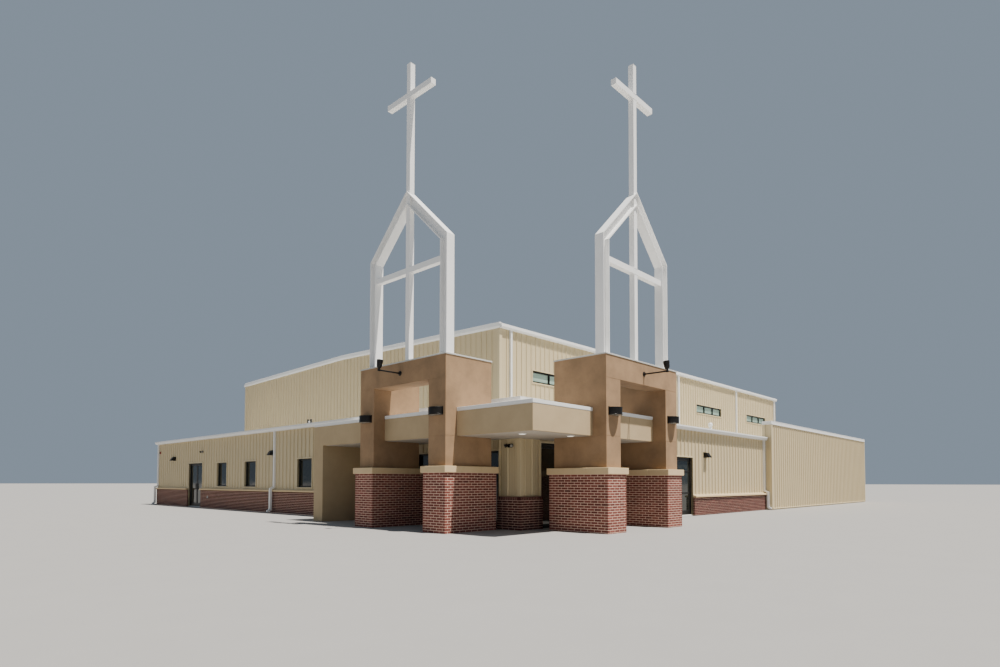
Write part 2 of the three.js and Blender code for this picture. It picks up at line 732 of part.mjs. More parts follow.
// Posts and rafters of an I-section, a crossbar, and a mast with its cross arm
function spire() {
  const ring = (outer, inner, bottom) =>
    shape([...spireLine(inner, bottom), ...spireLine(outer, bottom).reverse()]);
  const front = SPIRE_INSET;
  const back = SPIRE_INSET + SPIRE_SECTION;
  const recess = (SPIRE_SECTION - SPIRE_WEB) / 2;
  const hollow = ring(SPIRE_FLANGE, SPIRE_SECTION - SPIRE_FLANGE, TOWER_TOP + SPIRE_BASE_PLATE);
  const house = cut(
    alongY(ring(0, SPIRE_SECTION, TOWER_TOP), [front, back]),
    alongY(hollow, [front - 1, front + recess]),
    alongY(hollow, [back - recess, back + 1]),
  );
  const middleX = TOWER_WIDTH / 2;
  const middleY = (front + back) / 2;
  const deep = around(middleY, SPIRE_TUBE);
  const inside = SPIRE_INSET + SPIRE_SECTION - 10;
  return joined(
    house,
    block([inside, TOWER_WIDTH - inside], deep, around(CROSSBAR_MIDDLE, SPIRE_TUBE)),
    block(around(middleX, SPIRE_TUBE), deep, [TOWER_TOP, MAST_TOP]),
    block(around(middleX, CROSS_ARM_LENGTH), deep, around(CROSS_ARM_MIDDLE, SPIRE_TUBE)),
  );
}

// A spotlight on an arm: a wall plate, the arm, the end block, and a head that looks up at the spire
function spotlight() {
  const x = TOWER_WIDTH / 2;
  const half = SPOT_BLOCK / 2;
  const armEnd = -SPOT_REACH + half;
  const arm = new THREE.CylinderGeometry(SPOT_ARM_RADIUS, SPOT_ARM_RADIUS, -armEnd, 10).translate(
    x,
    armEnd / 2,
    SPOT_ARM_LEVEL,
  );
  const foot = SPOT_HEAD_RADIUS * SPOT_HEAD_TAPER;
  const head = new THREE.CylinderGeometry(SPOT_HEAD_RADIUS, foot, SPOT_HEAD_LENGTH, 14)
    .rotateX(Math.PI / 2)
    .translate(0, 0, SPOT_HEAD_LENGTH / 2)
    .rotateX(-SPOT_HEAD_TILT)
    .translate(x, armEnd + SPOT_HEAD_RADIUS / 2, SPOT_ARM_LEVEL + half / 2);
  const { width, height, thick } = SPOT_PLATE;
  const plate = block(around(x, width), [-thick, 0], around(SPOT_ARM_LEVEL, height));
  const end = [-SPOT_REACH, -SPOT_REACH + SPOT_BLOCK];
  const knuckleBlock = block(around(x, SPOT_BLOCK), end, around(SPOT_ARM_LEVEL, SPOT_BLOCK));
  return joined(plate, arm, knuckleBlock, head);
}

// A half-round light in plan, flat against the front of a leg
function wallLight(middle) {
  const { width, deep, up, sides } = LIGHT;
  const points = Array.from({ length: sides + 1 }, (_, i) => {
    const angle = (Math.PI * i) / sides;
    return [middle + (width / 2) * Math.cos(angle), i % sides ? -deep * Math.sin(angle) : 0];
  });
  return alongZ(shape(points), up);
}

function addTower(side, group, places) {
  const legs = [0, TOWER_WIDTH - LEG];
  places.forEach((place, i) => {
    add(group, side + "_base_" + place, towerBase(side, legs[i]), BRICK);
    add(group, side + "_light_" + place, wallLight(legs[i] + LEG / 2), DARK_FRAME);
  });
  add(group, side + "_tower", towerBody(side), STUCCO);
  add(group, side + "_spire", spire(), WHITE_STEEL);
  add(group, side + "_spotlight", spotlight(), DARK_FRAME);
  entry.add(group);
}

function addTowers() {
  const right = new THREE.Group();
  right.position.set(TOWER_START, RIGHT_TOWER_FRONT, 0);
  addTower("right", right, ["near", "far"]);
  const left = new THREE.Group();
  left.position.set(LEFT_TOWER_FRONT, TOWER_START + TOWER_WIDTH, 0);
  left.rotation.z = -Math.PI / 2;
  addTower("left", left, ["far", "near"]);
}

addFloor();
addLowWalls();
addBlockWall();
addHallWalls();
addRoofs();
addGutters();
addWainscots();
addGlazing();
addDoors();
addCanopy();
addTowers();

// The middle of the whole outline, from the spotlights' ends to the far roof edges
const lowX = LEFT_TOWER_FRONT - SPOT_REACH;
const highX = LENGTH_X + ROOF_LIP;
const lowY = RIGHT_TOWER_FRONT - SPOT_REACH;
const highY = LENGTH_Y + ROOF_LIP + GUTTER_DEEP;
building.position.set(-(lowX + highX) / 2, -(lowY + highY) / 2, 0);

const church = new THREE.Group();
church.add(building);

export default church;
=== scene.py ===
"""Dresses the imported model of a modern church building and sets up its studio.

Lengths are metres. Everything is modelled in the site frame, whose zero is the outer corner of the low
walls on the ground, with +X along the right front, +Y along the left front and +Z up. Each finished
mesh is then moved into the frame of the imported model.
"""

import logging
import math
import random
from dataclasses import dataclass, field
from enum import Enum
from functools import lru_cache, partial
from itertools import chain, pairwise, product
from typing import Sequence

import bpy
import numpy as np
from mathutils import Matrix, Vector


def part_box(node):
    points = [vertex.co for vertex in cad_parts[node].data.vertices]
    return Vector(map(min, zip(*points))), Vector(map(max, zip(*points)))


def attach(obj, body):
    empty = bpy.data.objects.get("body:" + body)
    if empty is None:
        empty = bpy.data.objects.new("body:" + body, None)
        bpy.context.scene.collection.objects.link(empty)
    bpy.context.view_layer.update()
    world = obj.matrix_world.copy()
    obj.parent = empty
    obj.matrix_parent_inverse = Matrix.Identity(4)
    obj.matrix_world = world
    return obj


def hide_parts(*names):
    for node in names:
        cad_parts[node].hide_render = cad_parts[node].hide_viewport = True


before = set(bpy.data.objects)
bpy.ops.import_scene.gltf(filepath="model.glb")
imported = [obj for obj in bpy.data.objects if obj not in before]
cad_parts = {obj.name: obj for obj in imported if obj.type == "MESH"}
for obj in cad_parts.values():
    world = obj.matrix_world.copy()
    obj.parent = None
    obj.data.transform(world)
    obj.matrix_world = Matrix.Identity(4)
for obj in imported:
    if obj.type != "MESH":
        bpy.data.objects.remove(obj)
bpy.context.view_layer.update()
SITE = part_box("left_wall_near")[0]

logging.basicConfig(level=logging.INFO, format="%(message)s")
log = logging.getLogger("church")

Span = tuple[float, float]
Point = tuple[float, float]
Inputs = dict[str | int, object]
Tree = bpy.types.NodeTree
Socket = bpy.types.NodeSocket
Relief = tuple[int, float] | None
Gloss = tuple[int, float, float] | None


def around(middle: float, width: float) -> Span:
    """Returns the stretch of one width about a middle."""
    return (middle - width / 2, middle + width / 2)


# Widths of worked edges: a hairline, an arris, the bend of a folded sheet and an eased corner
HAIR, ARRIS, BEND, EASED = 0.001, 0.002, 0.003, 0.004

# Sizes that several sub-assemblies share, as in the part's source
LENGTH_X, LENGTH_Y = 35.5, 28.05
HALL_X, HALL_Y = 5.08, 5.55
BLOCK_X, BLOCK_Y = 17.9, -0.37
HALL_EAVE, ENTRY_TOP = 7.46, 3.45
BLOCK_TOP, BLOCK_CAP_TOP = 4.12, 4.29
HALL_PITCH, WING_PITCH = 1 / 48, 1 / 24
HALL_MIDDLE_Y = (HALL_Y + LENGTH_Y) / 2
HALL_ROOF_THICK, WING_ROOF_THICK, ENTRY_ROOF_THICK = 0.17, 0.12, 0.2
ROOF_LIP, WING_LIP, GUTTER_DEEP, LOW_GUTTER_DEEP = 0.05, 0.01, 0.12, 0.22
DOWNSPOUT = 0.1
DOOR_HEAD = 2.29
LEFT_DOOR, RIGHT_DOOR = (21.65, 23.45), (8.94, 10.31)
LEFT_STORE, RIGHT_STORE = (0.78, 4.37), (0.87, 4.2)
LEFT_STORE_HEAD, RIGHT_STORE_HEAD = 2.2, 2.43
WINDOW_WIDTH, WINDOW_UP = 1.14, (1.1, 2.25)
LEFT_WINDOWS = {
    place: around(middle, WINDOW_WIDTH)
    for place, middle in (("near", 11.45), ("middle", 16.25), ("far", 19.3))
}
HALL_WINDOW_WIDTH, HALL_WINDOW_UP = 3.5, (5.52, 6.02)
HALL_WINDOWS = [around(middle, HALL_WINDOW_WIDTH) for middle in (8.85, 16.5, 24.1, 31.75)]
BRICK_OUT, SILL_OUT = 0.1, 0.16
ENTRY_BRICK_TOP = 0.91
TOWER_WIDTH, TOWER_DEPTH, TOWER_TOP, LEG = 3.78, 1.69, 4.65, 0.67
TOWER_START, LEFT_TOWER_FRONT, RIGHT_TOWER_FRONT = 0.63, -2.17, -2.38
CANOPY_SOFFIT, CANOPY_FASCIA_TOP, CANOPY_TOP = 2.52, 3.155, 3.26
LEFT_FASCIA, RIGHT_FASCIA = -1.775, -1.95
PORTAL = (7.15, 7.7)


@dataclass(frozen=True)
class LowFront:
    """The heights of one front of the low building, which the two fronts don't share."""

    eave: float
    brick_top: float
    sill_top: float

    def under(self, inward: float) -> float:
        """Returns the height of the low roof's underside at a distance behind the front."""
        return self.eave + WING_PITCH * inward

    def roof(self, inward: float) -> float:
        """Returns the height of the low roof's top at a distance behind the front."""
        return self.under(inward) + WING_ROOF_THICK


LEFT_LOW = LowFront(3.48, 0.9, 0.99)
RIGHT_LOW = LowFront(3.36, 0.72, 0.81)


def hall_under(y: float) -> float:
    """Returns the height of the hall roof's underside at a distance along the left front."""
    return HALL_EAVE + HALL_PITCH * min(y - HALL_Y, LENGTH_Y - y)


def linear(colour: int) -> tuple[float, float, float, float]:
    """Turns an sRGB hex value into linear RGBA.

    Args:
        colour: The colour as 0xRRGGBB.

    Returns:
        Red, green, blue and alpha for a node's socket.
    """
    channels = [((colour >> shift) & 255) / 255 for shift in (16, 8, 0)]
    turned = [c / 12.92 if c <= 0.04045 else ((c + 0.055) / 1.055) ** 2.4 for c in channels]
    return (turned[0], turned[1], turned[2], 1.0)


def per_metre(millimetres: float) -> float:
    """Returns the texture scale whose pattern repeats about once in that many millimetres."""
    return 1000.0 / millimetres


def put(tree: Tree, kind: str, inputs: Inputs | None = None, **settings: object) -> bpy.types.Node:
    """Adds a node with its settings, and fills or links its inputs.

    Args:
        tree: The node tree that gets it.
        kind: The node's type.
        inputs: Values or output sockets for its inputs, by name or number.
        **settings: Properties of the node.

    Returns:
        The new node.
    """
    node = tree.nodes.new("ShaderNode" + kind)
    for name, value in settings.items():
        setattr(node, name, value)
    for socket, value in (inputs or {}).items():
        if isinstance(value, Socket):
            tree.links.new(value, node.inputs[socket])
        else:
            node.inputs[socket].default_value = value
    return node


# Finishes


# The part of a noise's range that is spread out to a pattern's whole range
NOISE: Inputs = {"From Min": 0.3, "From Max": 0.7}


@dataclass(frozen=True)
class Noise:
    """A noise in a finish's pattern: its real size in millimetres, and how far it is drawn out upwards."""

    size: float
    detail: float
    roughness: float = 0.5
    run: float = 1.0


@dataclass(frozen=True)
class Veil:
    """A colour that shows where a noise is high, and more so where a second noise is high too."""

    noise: int
    most: float
    colour: int
    within: int | None = None


@dataclass(frozen=True)
class Finish:
    """A surface of one real material, as a shader that each kind of finish gives its pattern to.

    Its relief is the number of a noise and how far that stands out. Its gloss is the number of a noise and
    what that adds to the roughness where it is low, and where it is high.
    """

    name: str
    colour: int
    roughness: float
    metallic: float = 0.0
    ior: float = 1.5
    relief: Relief = None
    gloss: Gloss = None
    noises: tuple[Noise, ...] = ()

    def veils(self) -> tuple[Veil, ...]:
        """Returns the colours that the noises lay over the finish's own."""
        return ()

    def ground(self, tree: Tree) -> object:
        """Returns the colour under the veils."""
        return linear(self.colour)

    def plain(self) -> Inputs:
        """Returns the shader's inputs that are the same all over."""
        inputs: Inputs = {"Roughness": self.roughness, "Metallic": self.metallic}
        return inputs if self.metallic else {**inputs, "IOR": self.ior}

    def drawn(self, tree: Tree) -> list[Socket]:
        """Adds the noises to the finish's material.

        Args:
            tree: The material's tree.

        Returns:
            The noises, in their order.
        """
        place = put(tree, "TexCoord").outputs["Object"]
        made = []
        for noise in self.noises:
            run = put(tree, "Mapping", {"Vector": place, "Scale": (1.0, 1.0, noise.run)}).outputs[0]
            look: Inputs = {"Vector": run, "Scale": per_metre(noise.size), "Detail": noise.detail}
            made.append(put(tree, "TexNoise", {**look, "Roughness": noise.roughness}).outputs["Fac"])
        return made

    def veiled(self, tree: Tree, noises: Sequence[Socket]) -> object:
        """Lays the veils over the finish's own colour.

        Args:
            tree: The material's tree.
            noises: The noises.

        Returns:
            The colour that shows.
        """
        colour = self.ground(tree)
        for veil in self.veils():
            shown: Inputs = {**NOISE, "Value": noises[veil.noise], "To Min": 0.0, "To Max": veil.most}
            amount = put(tree, "MapRange", shown).outputs[0]
            if veil.within is not None:
                near: Inputs = {**NOISE, "Value": noises[veil.within], "To Min": 0.2, "To Max": 1.0}
                both: Inputs = {0: amount, 1: put(tree, "MapRange", near).outputs[0]}
                amount = put(tree, "Math", both, operation="MULTIPLY").outputs[0]
            colours: Inputs = {0: amount, 6: colour, 7: linear(veil.colour)}
            colour = put(tree, "Mix", colours, data_type="RGBA").outputs[2]
        return colour

    def material(self) -> bpy.types.Material:
        """Makes this finish's material on its first use.

        Returns:
            The material.
        """
        found = bpy.data.materials.get(self.name)
        if found:
            return found
        material = bpy.data.materials.new(self.name)
        material.use_nodes = True
        material.diffuse_color = linear(self.colour)
        tree = material.node_tree
        tree.nodes.clear()
        noises = self.drawn(tree)
        inputs: Inputs = {**self.plain(), "Base Color": self.veiled(tree, noises)}
        if self.gloss:
            marks, *added = self.gloss
            low, high = (self.roughness + more for more in added)
            spread: Inputs = {**NOISE, "Value": noises[marks], "To Min": low, "To Max": high}
            inputs["Roughness"] = put(tree, "MapRange", spread).outputs[0]
        if self.relief:
            number, height = self.relief
            raised: Inputs = {"Height": noises[number], "Distance": height}
            inputs["Normal"] = put(tree, "Bump", raised).outputs[0]
        shader = put(tree, "BsdfPrincipled", inputs)
        put(tree, "OutputMaterial", {"Surface": shader.outputs["BSDF"]})
        return material


@dataclass(frozen=True)
class CoilCoatedSteel(Finish):
    """Roll-formed steel sheet with a baked coil coating: satin, evenly coloured, with faintly waved flats and
    a little rain dust that runs down it."""

    # A slow drift, dust that runs down and the wave of thin sheet
    noises: tuple[Noise, ...] = (Noise(1600, 3.0), Noise(140, 4.0, run=0.06), Noise(420, 1.0))
    relief: Relief = (2, 0.0025)
    gloss: Gloss = (1, -0.05, 0.07)
    dust: int = 0x8F8468
    dusty: float = 0.14

    def veils(self) -> tuple[Veil, ...]:
        """Returns dust streaks that come and go with the drift."""
        return (Veil(1, self.dusty, self.dust, within=0),)


@dataclass(frozen=True)
class SprayedSteel(Finish):
    """Structural steel shapes with a sprayed white topcoat: semi-gloss, with a fine orange peel."""

    # Patches, and the sprayed texture, drawn at 12 mm because the real 2 mm can't show
    noises: tuple[Noise, ...] = (Noise(700, 5.0), Noise(12, 2.0))
    relief: Relief = (1, 0.0004)
    gloss: Gloss = (0, -0.06, 0.08)
    worn: int = 0xC9C8C2

    def veils(self) -> tuple[Veil, ...]:
        """Returns weathered patches."""
        return (Veil(0, 0.16, self.worn),)


@dataclass(frozen=True)
class AcrylicStucco(Finish):
    """Trowelled acrylic stucco with a sand-float face: fully matt, mottled where the trowel passed."""

    # The trowel's passes, and the sand grain at 9 mm because the real 1.5 mm can't show
    noises: tuple[Noise, ...] = (Noise(650, 5.0, roughness=0.6), Noise(9, 3.0))
    relief: Relief = (1, 0.0022)
    shade: int = 0x000000
    mottle: float = 0.5

    def veils(self) -> tuple[Veil, ...]:
        """Returns trowel mottling and the sand's shade."""
        return (Veil(0, self.mottle, self.shade), Veil(1, 0.22, self.shade))


@dataclass(frozen=True)
class FiredBrick(Finish):
    """Wire-cut fired clay face brick: matt, each brick its own red to brown tone, with dark iron spots."""

    # The rough wire-cut face
    noises: tuple[Noise, ...] = (Noise(22, 4.0, roughness=0.7),)
    relief: Relief = (0, 0.003)
    tones: tuple[int, ...] = (0x4C231D, 0x602F27, 0x743A30, 0x8E4E41)
    steps: tuple[float, ...] = (0.0, 0.35, 0.65, 1.0)
    iron: int = 0x3A211B

    def veils(self) -> tuple[Veil, ...]:
        """Returns iron spots."""
        return (Veil(0, 0.3, self.iron),)

    def ground(self, tree: Tree) -> object:
        """Adds the colour of the tone that each brick was given.

        Args:
            tree: The material's tree.

        Returns:
            The colour.
        """
        tone = put(tree, "Attribute", attribute_name="tone").outputs["Fac"]
        ramp = put(tree, "ValToRGB", {"Fac": tone})
        stops = ramp.color_ramp.elements
        for _ in range(len(self.tones) - len(stops)):
            stops.new(0.5)
        for stop, step, colour in zip(stops, self.steps, self.tones):
            stop.position = step
            stop.color = linear(colour)
        return ramp.outputs["Color"]


@dataclass(frozen=True)
class CastMineral(Finish):
    """Cast stone, mortar or concrete: matt, with fine aggregate and pale bloom."""

    # The aggregate at its grain size, and slow stains
    noises: tuple[Noise, ...] = (Noise(12, 5.0), Noise(380, 3.0))
    relief: Relief = (0, 0.0015)
    speck: int = 0x8C8270
    speckled: float = 0.35

    def veils(self) -> tuple[Veil, ...]:
        """Returns aggregate and stains."""
        return (Veil(0, self.speckled, self.speck), Veil(1, self.speckled * 0.6, self.speck))


@dataclass(frozen=True)
class AnodisedAluminium(Finish):
    """Extruded aluminium, anodised dark bronze: satin, nearly black, with a fine drawn line along it."""

    # Handling marks, and the drawn line at 6 mm, coarser than the real one so that it shows
    noises: tuple[Noise, ...] = (Noise(90, 4.0), Noise(6, 1.0))
    relief: Relief = (1, 0.0001)
    gloss: Gloss = (0, -0.08, 0.1)
    worn: int = 0x34302C

    def veils(self) -> tuple[Veil, ...]:
        """Returns faint handling marks."""
        return (Veil(0, 0.3, self.worn),)


@dataclass(frozen=True)
class FloatGlass(Finish):
    """Coated float glass seen from outside: dark, or pale where the colour is a painted sky reflection;
    mirror-smooth, with the faint roll wave of toughened panes."""

    # Roll wave about 300 mm long, and a film of dust
    noises: tuple[Noise, ...] = (Noise(300, 0.0), Noise(120, 4.0))
    relief: Relief = (0, 0.0008)
    gloss: Gloss = (1, 0.0, 0.05)
    film: int = 0x9AA09C
    filmed: float = 0.12

    def veils(self) -> tuple[Veil, ...]:
        """Returns the film of dust."""
        return (Veil(1, self.filmed, self.film),)


@dataclass(frozen=True)
class MouldedPlastic(Finish):
    """Moulded lens, gasket or membrane: even, with a soft sheen and light scuffs."""

    # Scuffs
    noises: tuple[Noise, ...] = (Noise(60, 4.0),)
    relief: Relief = (0, 0.0003)
    gloss: Gloss = (0, 0.0, 0.1)
    scuff: int = 0x808080
    glow: float = 0.0

    def veils(self) -> tuple[Veil, ...]:
        """Returns the scuffs' colour."""
        return (Veil(0, 0.15, self.scuff),)

    def plain(self) -> Inputs:
        """Returns the plain inputs with a lens's glow, which is painted brightness on the downlights' lenses.
        """
        lit: Inputs = {"Emission Color": linear(self.colour), "Emission Strength": self.glow}
        return {**super().plain(), **lit}


PANEL = CoilCoatedSteel("wall_panel_steel", 0xC9B893, 0.45)
PANEL_TRIM = CoilCoatedSteel("panel_trim_steel", 0xCDBD98, 0.42)
WHITE_TRIM = CoilCoatedSteel("white_trim_steel", 0xE9E9E7, 0.38, dust=0xA9A8A2)
ROOF_PANEL = CoilCoatedSteel("roof_panel_steel", 0xEBECE8, 0.4, dust=0xB4B2AA)
WHITE_STEEL = SprayedSteel("white_sprayed_steel", 0xF6F6F5, 0.4)
STUCCO = AcrylicStucco("tower_stucco", 0xA68664, 0.92, shade=0x776047, mottle=0.7)
PALE_STUCCO = AcrylicStucco("canopy_stucco", 0xBAA481, 0.92, shade=0xA28D6C)
SOFFIT = AcrylicStucco("soffit_plaster", 0xBDB4A6, 0.85, shade=0xA89F92)
BRICK = FiredBrick("fired_brick", 0x74443A, 0.88)
MORTAR = CastMineral("mortar", 0xEECDB6, 0.95, speck=0xC8A48E)
CAST_STONE = CastMineral("cast_stone", 0xD7BE95, 0.85, speck=0xB99F76)
CONCRETE = CastMineral("concrete", 0xC3C0B8, 0.9, speck=0x9B978E, noises=(Noise(25, 5.0), Noise(380, 3.0)))
BRONZE = AnodisedAluminium("dark_anodised_aluminium", 0x1C1A19, 0.36, metallic=0.6)
DARK_GLASS = FloatGlass("tinted_glass", 0x10140F, 0.04, ior=1.52, filmed=0.05)
# The clerestory glass's pale colour is a painted reflection of the sky, not the glass's own colour.
PAINTED_SKY_GLASS = FloatGlass("clerestory_glass_painted_sky", 0x9DB5A6, 0.05, ior=1.52)
LENS = MouldedPlastic("lamp_lens", 0x8E8B82, 0.3, scuff=0x6E6B64)
# The downlights' lenses get a painted glow, so that they read bright white.
PAINTED_GLOW_LENS = MouldedPlastic("downlight_lens_painted_glow", 0xFFF6E4, 0.3, scuff=0xE8DCC4, glow=1.2)
GASKET = MouldedPlastic("rubber_gasket", 0x151515, 0.6)
MEMBRANE = MouldedPlastic("roof_membrane", 0xBFC0BC, 0.7, scuff=0x8E8E88)
ALARM_RED = MouldedPlastic("red_housing", 0x8C2420, 0.35, scuff=0x5A1A18)


# Modelling


# Exchanges X and Y
SWAP = Matrix(((0, 1, 0, 0), (1, 0, 0, 0), (0, 0, 1, 0), (0, 0, 0, 1)))


class Axis(Enum):
    """The direction that an outline is extruded in."""

    X = 0
    Y = 1
    Z = 2


def clear() -> None:
    """Leaves edit mode and deselects everything."""
    if bpy.context.mode != "OBJECT":
        bpy.ops.object.mode_set(mode="OBJECT")
    bpy.ops.object.select_all(action="DESELECT")


@dataclass(frozen=True)
class Form:
    """The points and faces of a shape that has been modelled, ready to be copied into a piece."""

    points: np.ndarray
    faces: tuple[tuple[int, ...], ...]

    @classmethod
    def take(cls, shape: bpy.types.Object) -> "Form":
        """Reads a modelled object and removes it.

        Args:
            shape: The object.

        Returns:
            Its form.
        """
        mesh = shape.data
        points = np.empty(len(mesh.vertices) * 3)
        mesh.vertices.foreach_get("co", points)
        faces = tuple(tuple(polygon.vertices) for polygon in mesh.polygons)
        bpy.data.objects.remove(shape)
        bpy.data.meshes.remove(mesh)
        return cls(points.reshape(-1, 3), faces)

    def moved(self, matrix: Matrix) -> "Form":
        """Moves a copy by a matrix, and turns its faces back where the matrix mirrors.

        Args:
            matrix: The matrix.

        Returns:
            The copy.
        """
        turn = np.array(matrix)
        faces = self.faces
        if matrix.determinant() < 0:
            faces = tuple(face[::-1] for face in faces)
        return Form(self.points @ turn[:3, :3].T + turn[:3, 3], faces)

    def at(self, x: float, y: float, z: float) -> "Form":
        """Returns a copy moved by a distance."""
        return Form(self.points + np.array((x, y, z)), self.faces)


def rounded(shape: bpy.types.Object, width: float, segments: int = 1) -> None:
    """Bevels the sharp edges of the active object.

    Args:
        shape: The object.
        width: The width of the worked edges.
        segments: Steps in each edge.
    """
    edge = shape.modifiers.new("edges", "BEVEL")
    edge.width = width
    edge.segments = segments
    edge.limit_method = "ANGLE"
    edge.angle_limit = math.radians(40)
    bpy.ops.object.modifier_apply(modifier=edge.name)


@lru_cache(maxsize=None)
def block_form(x: float, y: float, z: float, bevel: float, segments: int) -> Form:
    """Models a bar with worked edges about the origin.

    Args:
        x: Its size along X.
        y: Its size along Y.
        z: Its size along Z.
        bevel: The width of its worked edges.
        segments: Steps in each edge.

    Returns:
        Its form.
    """
    clear()
    bpy.ops.mesh.primitive_cube_add(size=1)
    shape = bpy.context.object
    shape.scale = (x, y, z)
    bpy.ops.object.transform_apply(location=False, rotation=False, scale=True)
    rounded(shape, bevel, segments)
    return Form.take(shape)


def block(x: Span, y: Span, z: Span, bevel: float = 0.003, segments: int = 1) -> Form:
    """Returns a bar with worked edges between three pairs of limits."""
    sizes = [round(abs(high - low), 6) for low, high in (x, y, z)]
    return block_form(*sizes, min(bevel, min(sizes) / 3), segments).at(*(sum(pair) / 2 for pair in (x, y, z)))


def outwards() -> None:
    """Points the faces of the shape in edit mode outwards, and leaves edit mode."""
    bpy.ops.mesh.select_all(action="SELECT")
    bpy.ops.mesh.normals_make_consistent(inside=False)
    bpy.ops.object.mode_set(mode="OBJECT")


def prism(outline: Sequence[Point], axis: Axis, span: Span, bevel: float = 0.0, segments: int = 1) -> Form:
    """Models an outline extruded along an axis.

    Args:
        outline: Its corners, in (y, z), (x, z) or (x, y) for the three axes.
        axis: The direction of the extrusion.
        span: Where the extrusion starts and ends.
        bevel: The width of its worked edges, or 0.
        segments: Steps in each edge.

    Returns:
        Its form.
    """
    clear()
    bpy.ops.mesh.primitive_circle_add(vertices=len(outline), radius=1, fill_type="NGON")
    shape = bpy.context.object
    for vertex, corner in zip(shape.data.vertices, outline):
        place = list(corner)
        place.insert(axis.value, span[0])
        vertex.co = place
    step = [0.0, 0.0, 0.0]
    step[axis.value] = span[1] - span[0]
    bpy.ops.object.mode_set(mode="EDIT")
    bpy.ops.mesh.select_all(action="SELECT")
    bpy.ops.mesh.extrude_region_move(TRANSFORM_OT_translate={"value": step})
    outwards()
    if bevel:
        rounded(shape, bevel, segments)
    return Form.take(shape)


def turned(rings: Sequence[Point], sides: int = 20) -> Form:
    """Models a round shape about +Z by extruding and resizing a disc.

    Args:
        rings: The radius and height of each ring, from the foot.
        sides: Its number of sides.

    Returns:
        Its form.
    """
    clear()
    radius, foot = rings[0]
    bpy.ops.mesh.primitive_circle_add(vertices=sides, radius=radius, fill_type="NGON", location=(0, 0, foot))
    bpy.ops.object.transform_apply(location=True, rotation=False, scale=False)
    shape = bpy.context.object
    bpy.ops.object.mode_set(mode="EDIT")
    bpy.ops.mesh.select_all(action="SELECT")
    for (before, low), (after, high) in pairwise(rings):
        bpy.ops.mesh.extrude_region_move(TRANSFORM_OT_translate={"value": (0, 0, high - low)})
        ratio = after / before
        bpy.ops.transform.resize(value=(ratio, ratio, 1), center_override=(0, 0, high))
    outwards()
    return Form.take(shape)


def aimed(form: Form, start: Sequence[float], way: Sequence[float]) -> Form:
    """Turns a form from +Z to a direction and moves its foot to a point."""
    turn = Vector(way).to_track_quat("Z", "Y").to_matrix().to_4x4()
    return form.moved(Matrix.Translation(start) @ turn)


def rod(start: Sequence[float], end: Sequence[float], radius: float, sides: int = 12) -> Form:
    """Models a round bar with eased ends between two points.

    Args:
        start: The middle of one end.
        end: The middle of the other.
        radius: Its radius.
        sides: Its number of sides.

    Returns:
        Its form.
    """
    way = Vector(end) - Vector(start)
    ease = min(radius * 0.25, way.length / 4)
    rings = ((radius - ease, 0), (radius, ease), (radius, way.length - ease), (radius - ease, way.length))
    return aimed(turned(rings, sides), start, way)


@dataclass(frozen=True)
class Plane:
    """A wall's own frame: x along it, y out of its face and z up."""

    origin: tuple[float, float, float]
    along: tuple[float, float, float]
    out: tuple[float, float, float]

    @property
    def matrix(self) -> Matrix:
        """The matrix from the wall's frame to the site."""
        turn = Matrix((self.along, self.out, (0, 0, 1))).transposed().to_4x4()
        return Matrix.Translation(self.origin) @ turn


LEFT = Plane((0, 0, 0), (0, 1, 0), (-1, 0, 0))
RIGHT = Plane((0, 0, 0), (1, 0, 0), (0, -1, 0))
BLOCK_FRONT = Plane((0, BLOCK_Y, 0), (1, 0, 0), (0, -1, 0))
BLOCK_BACK = Plane((0, 0, 0), (1, 0, 0), (0, 1, 0))
HALL_LEFT = Plane((HALL_X, 0, 0), (0, 1, 0), (-1, 0, 0))
HALL_FRONT = Plane((0, HALL_Y, 0), (1, 0, 0), (0, -1, 0))
BACK = Plane((0, LENGTH_Y, 0), (1, 0, 0), (0, 1, 0))
END = Plane((LENGTH_X, 0, 0), (0, 1, 0), (1, 0, 0))

# The towers' own frames: x along the front, y to the back
RIGHT_TOWER = Matrix.Translation((TOWER_START, RIGHT_TOWER_FRONT, 0))
QUARTER_TURN = Matrix.Rotation(-math.pi / 2, 4, "Z")
LEFT_TOWER = Matrix.Translation((LEFT_TOWER_FRONT, TOWER_START + TOWER_WIDTH, 0)) @ QUARTER_TURN


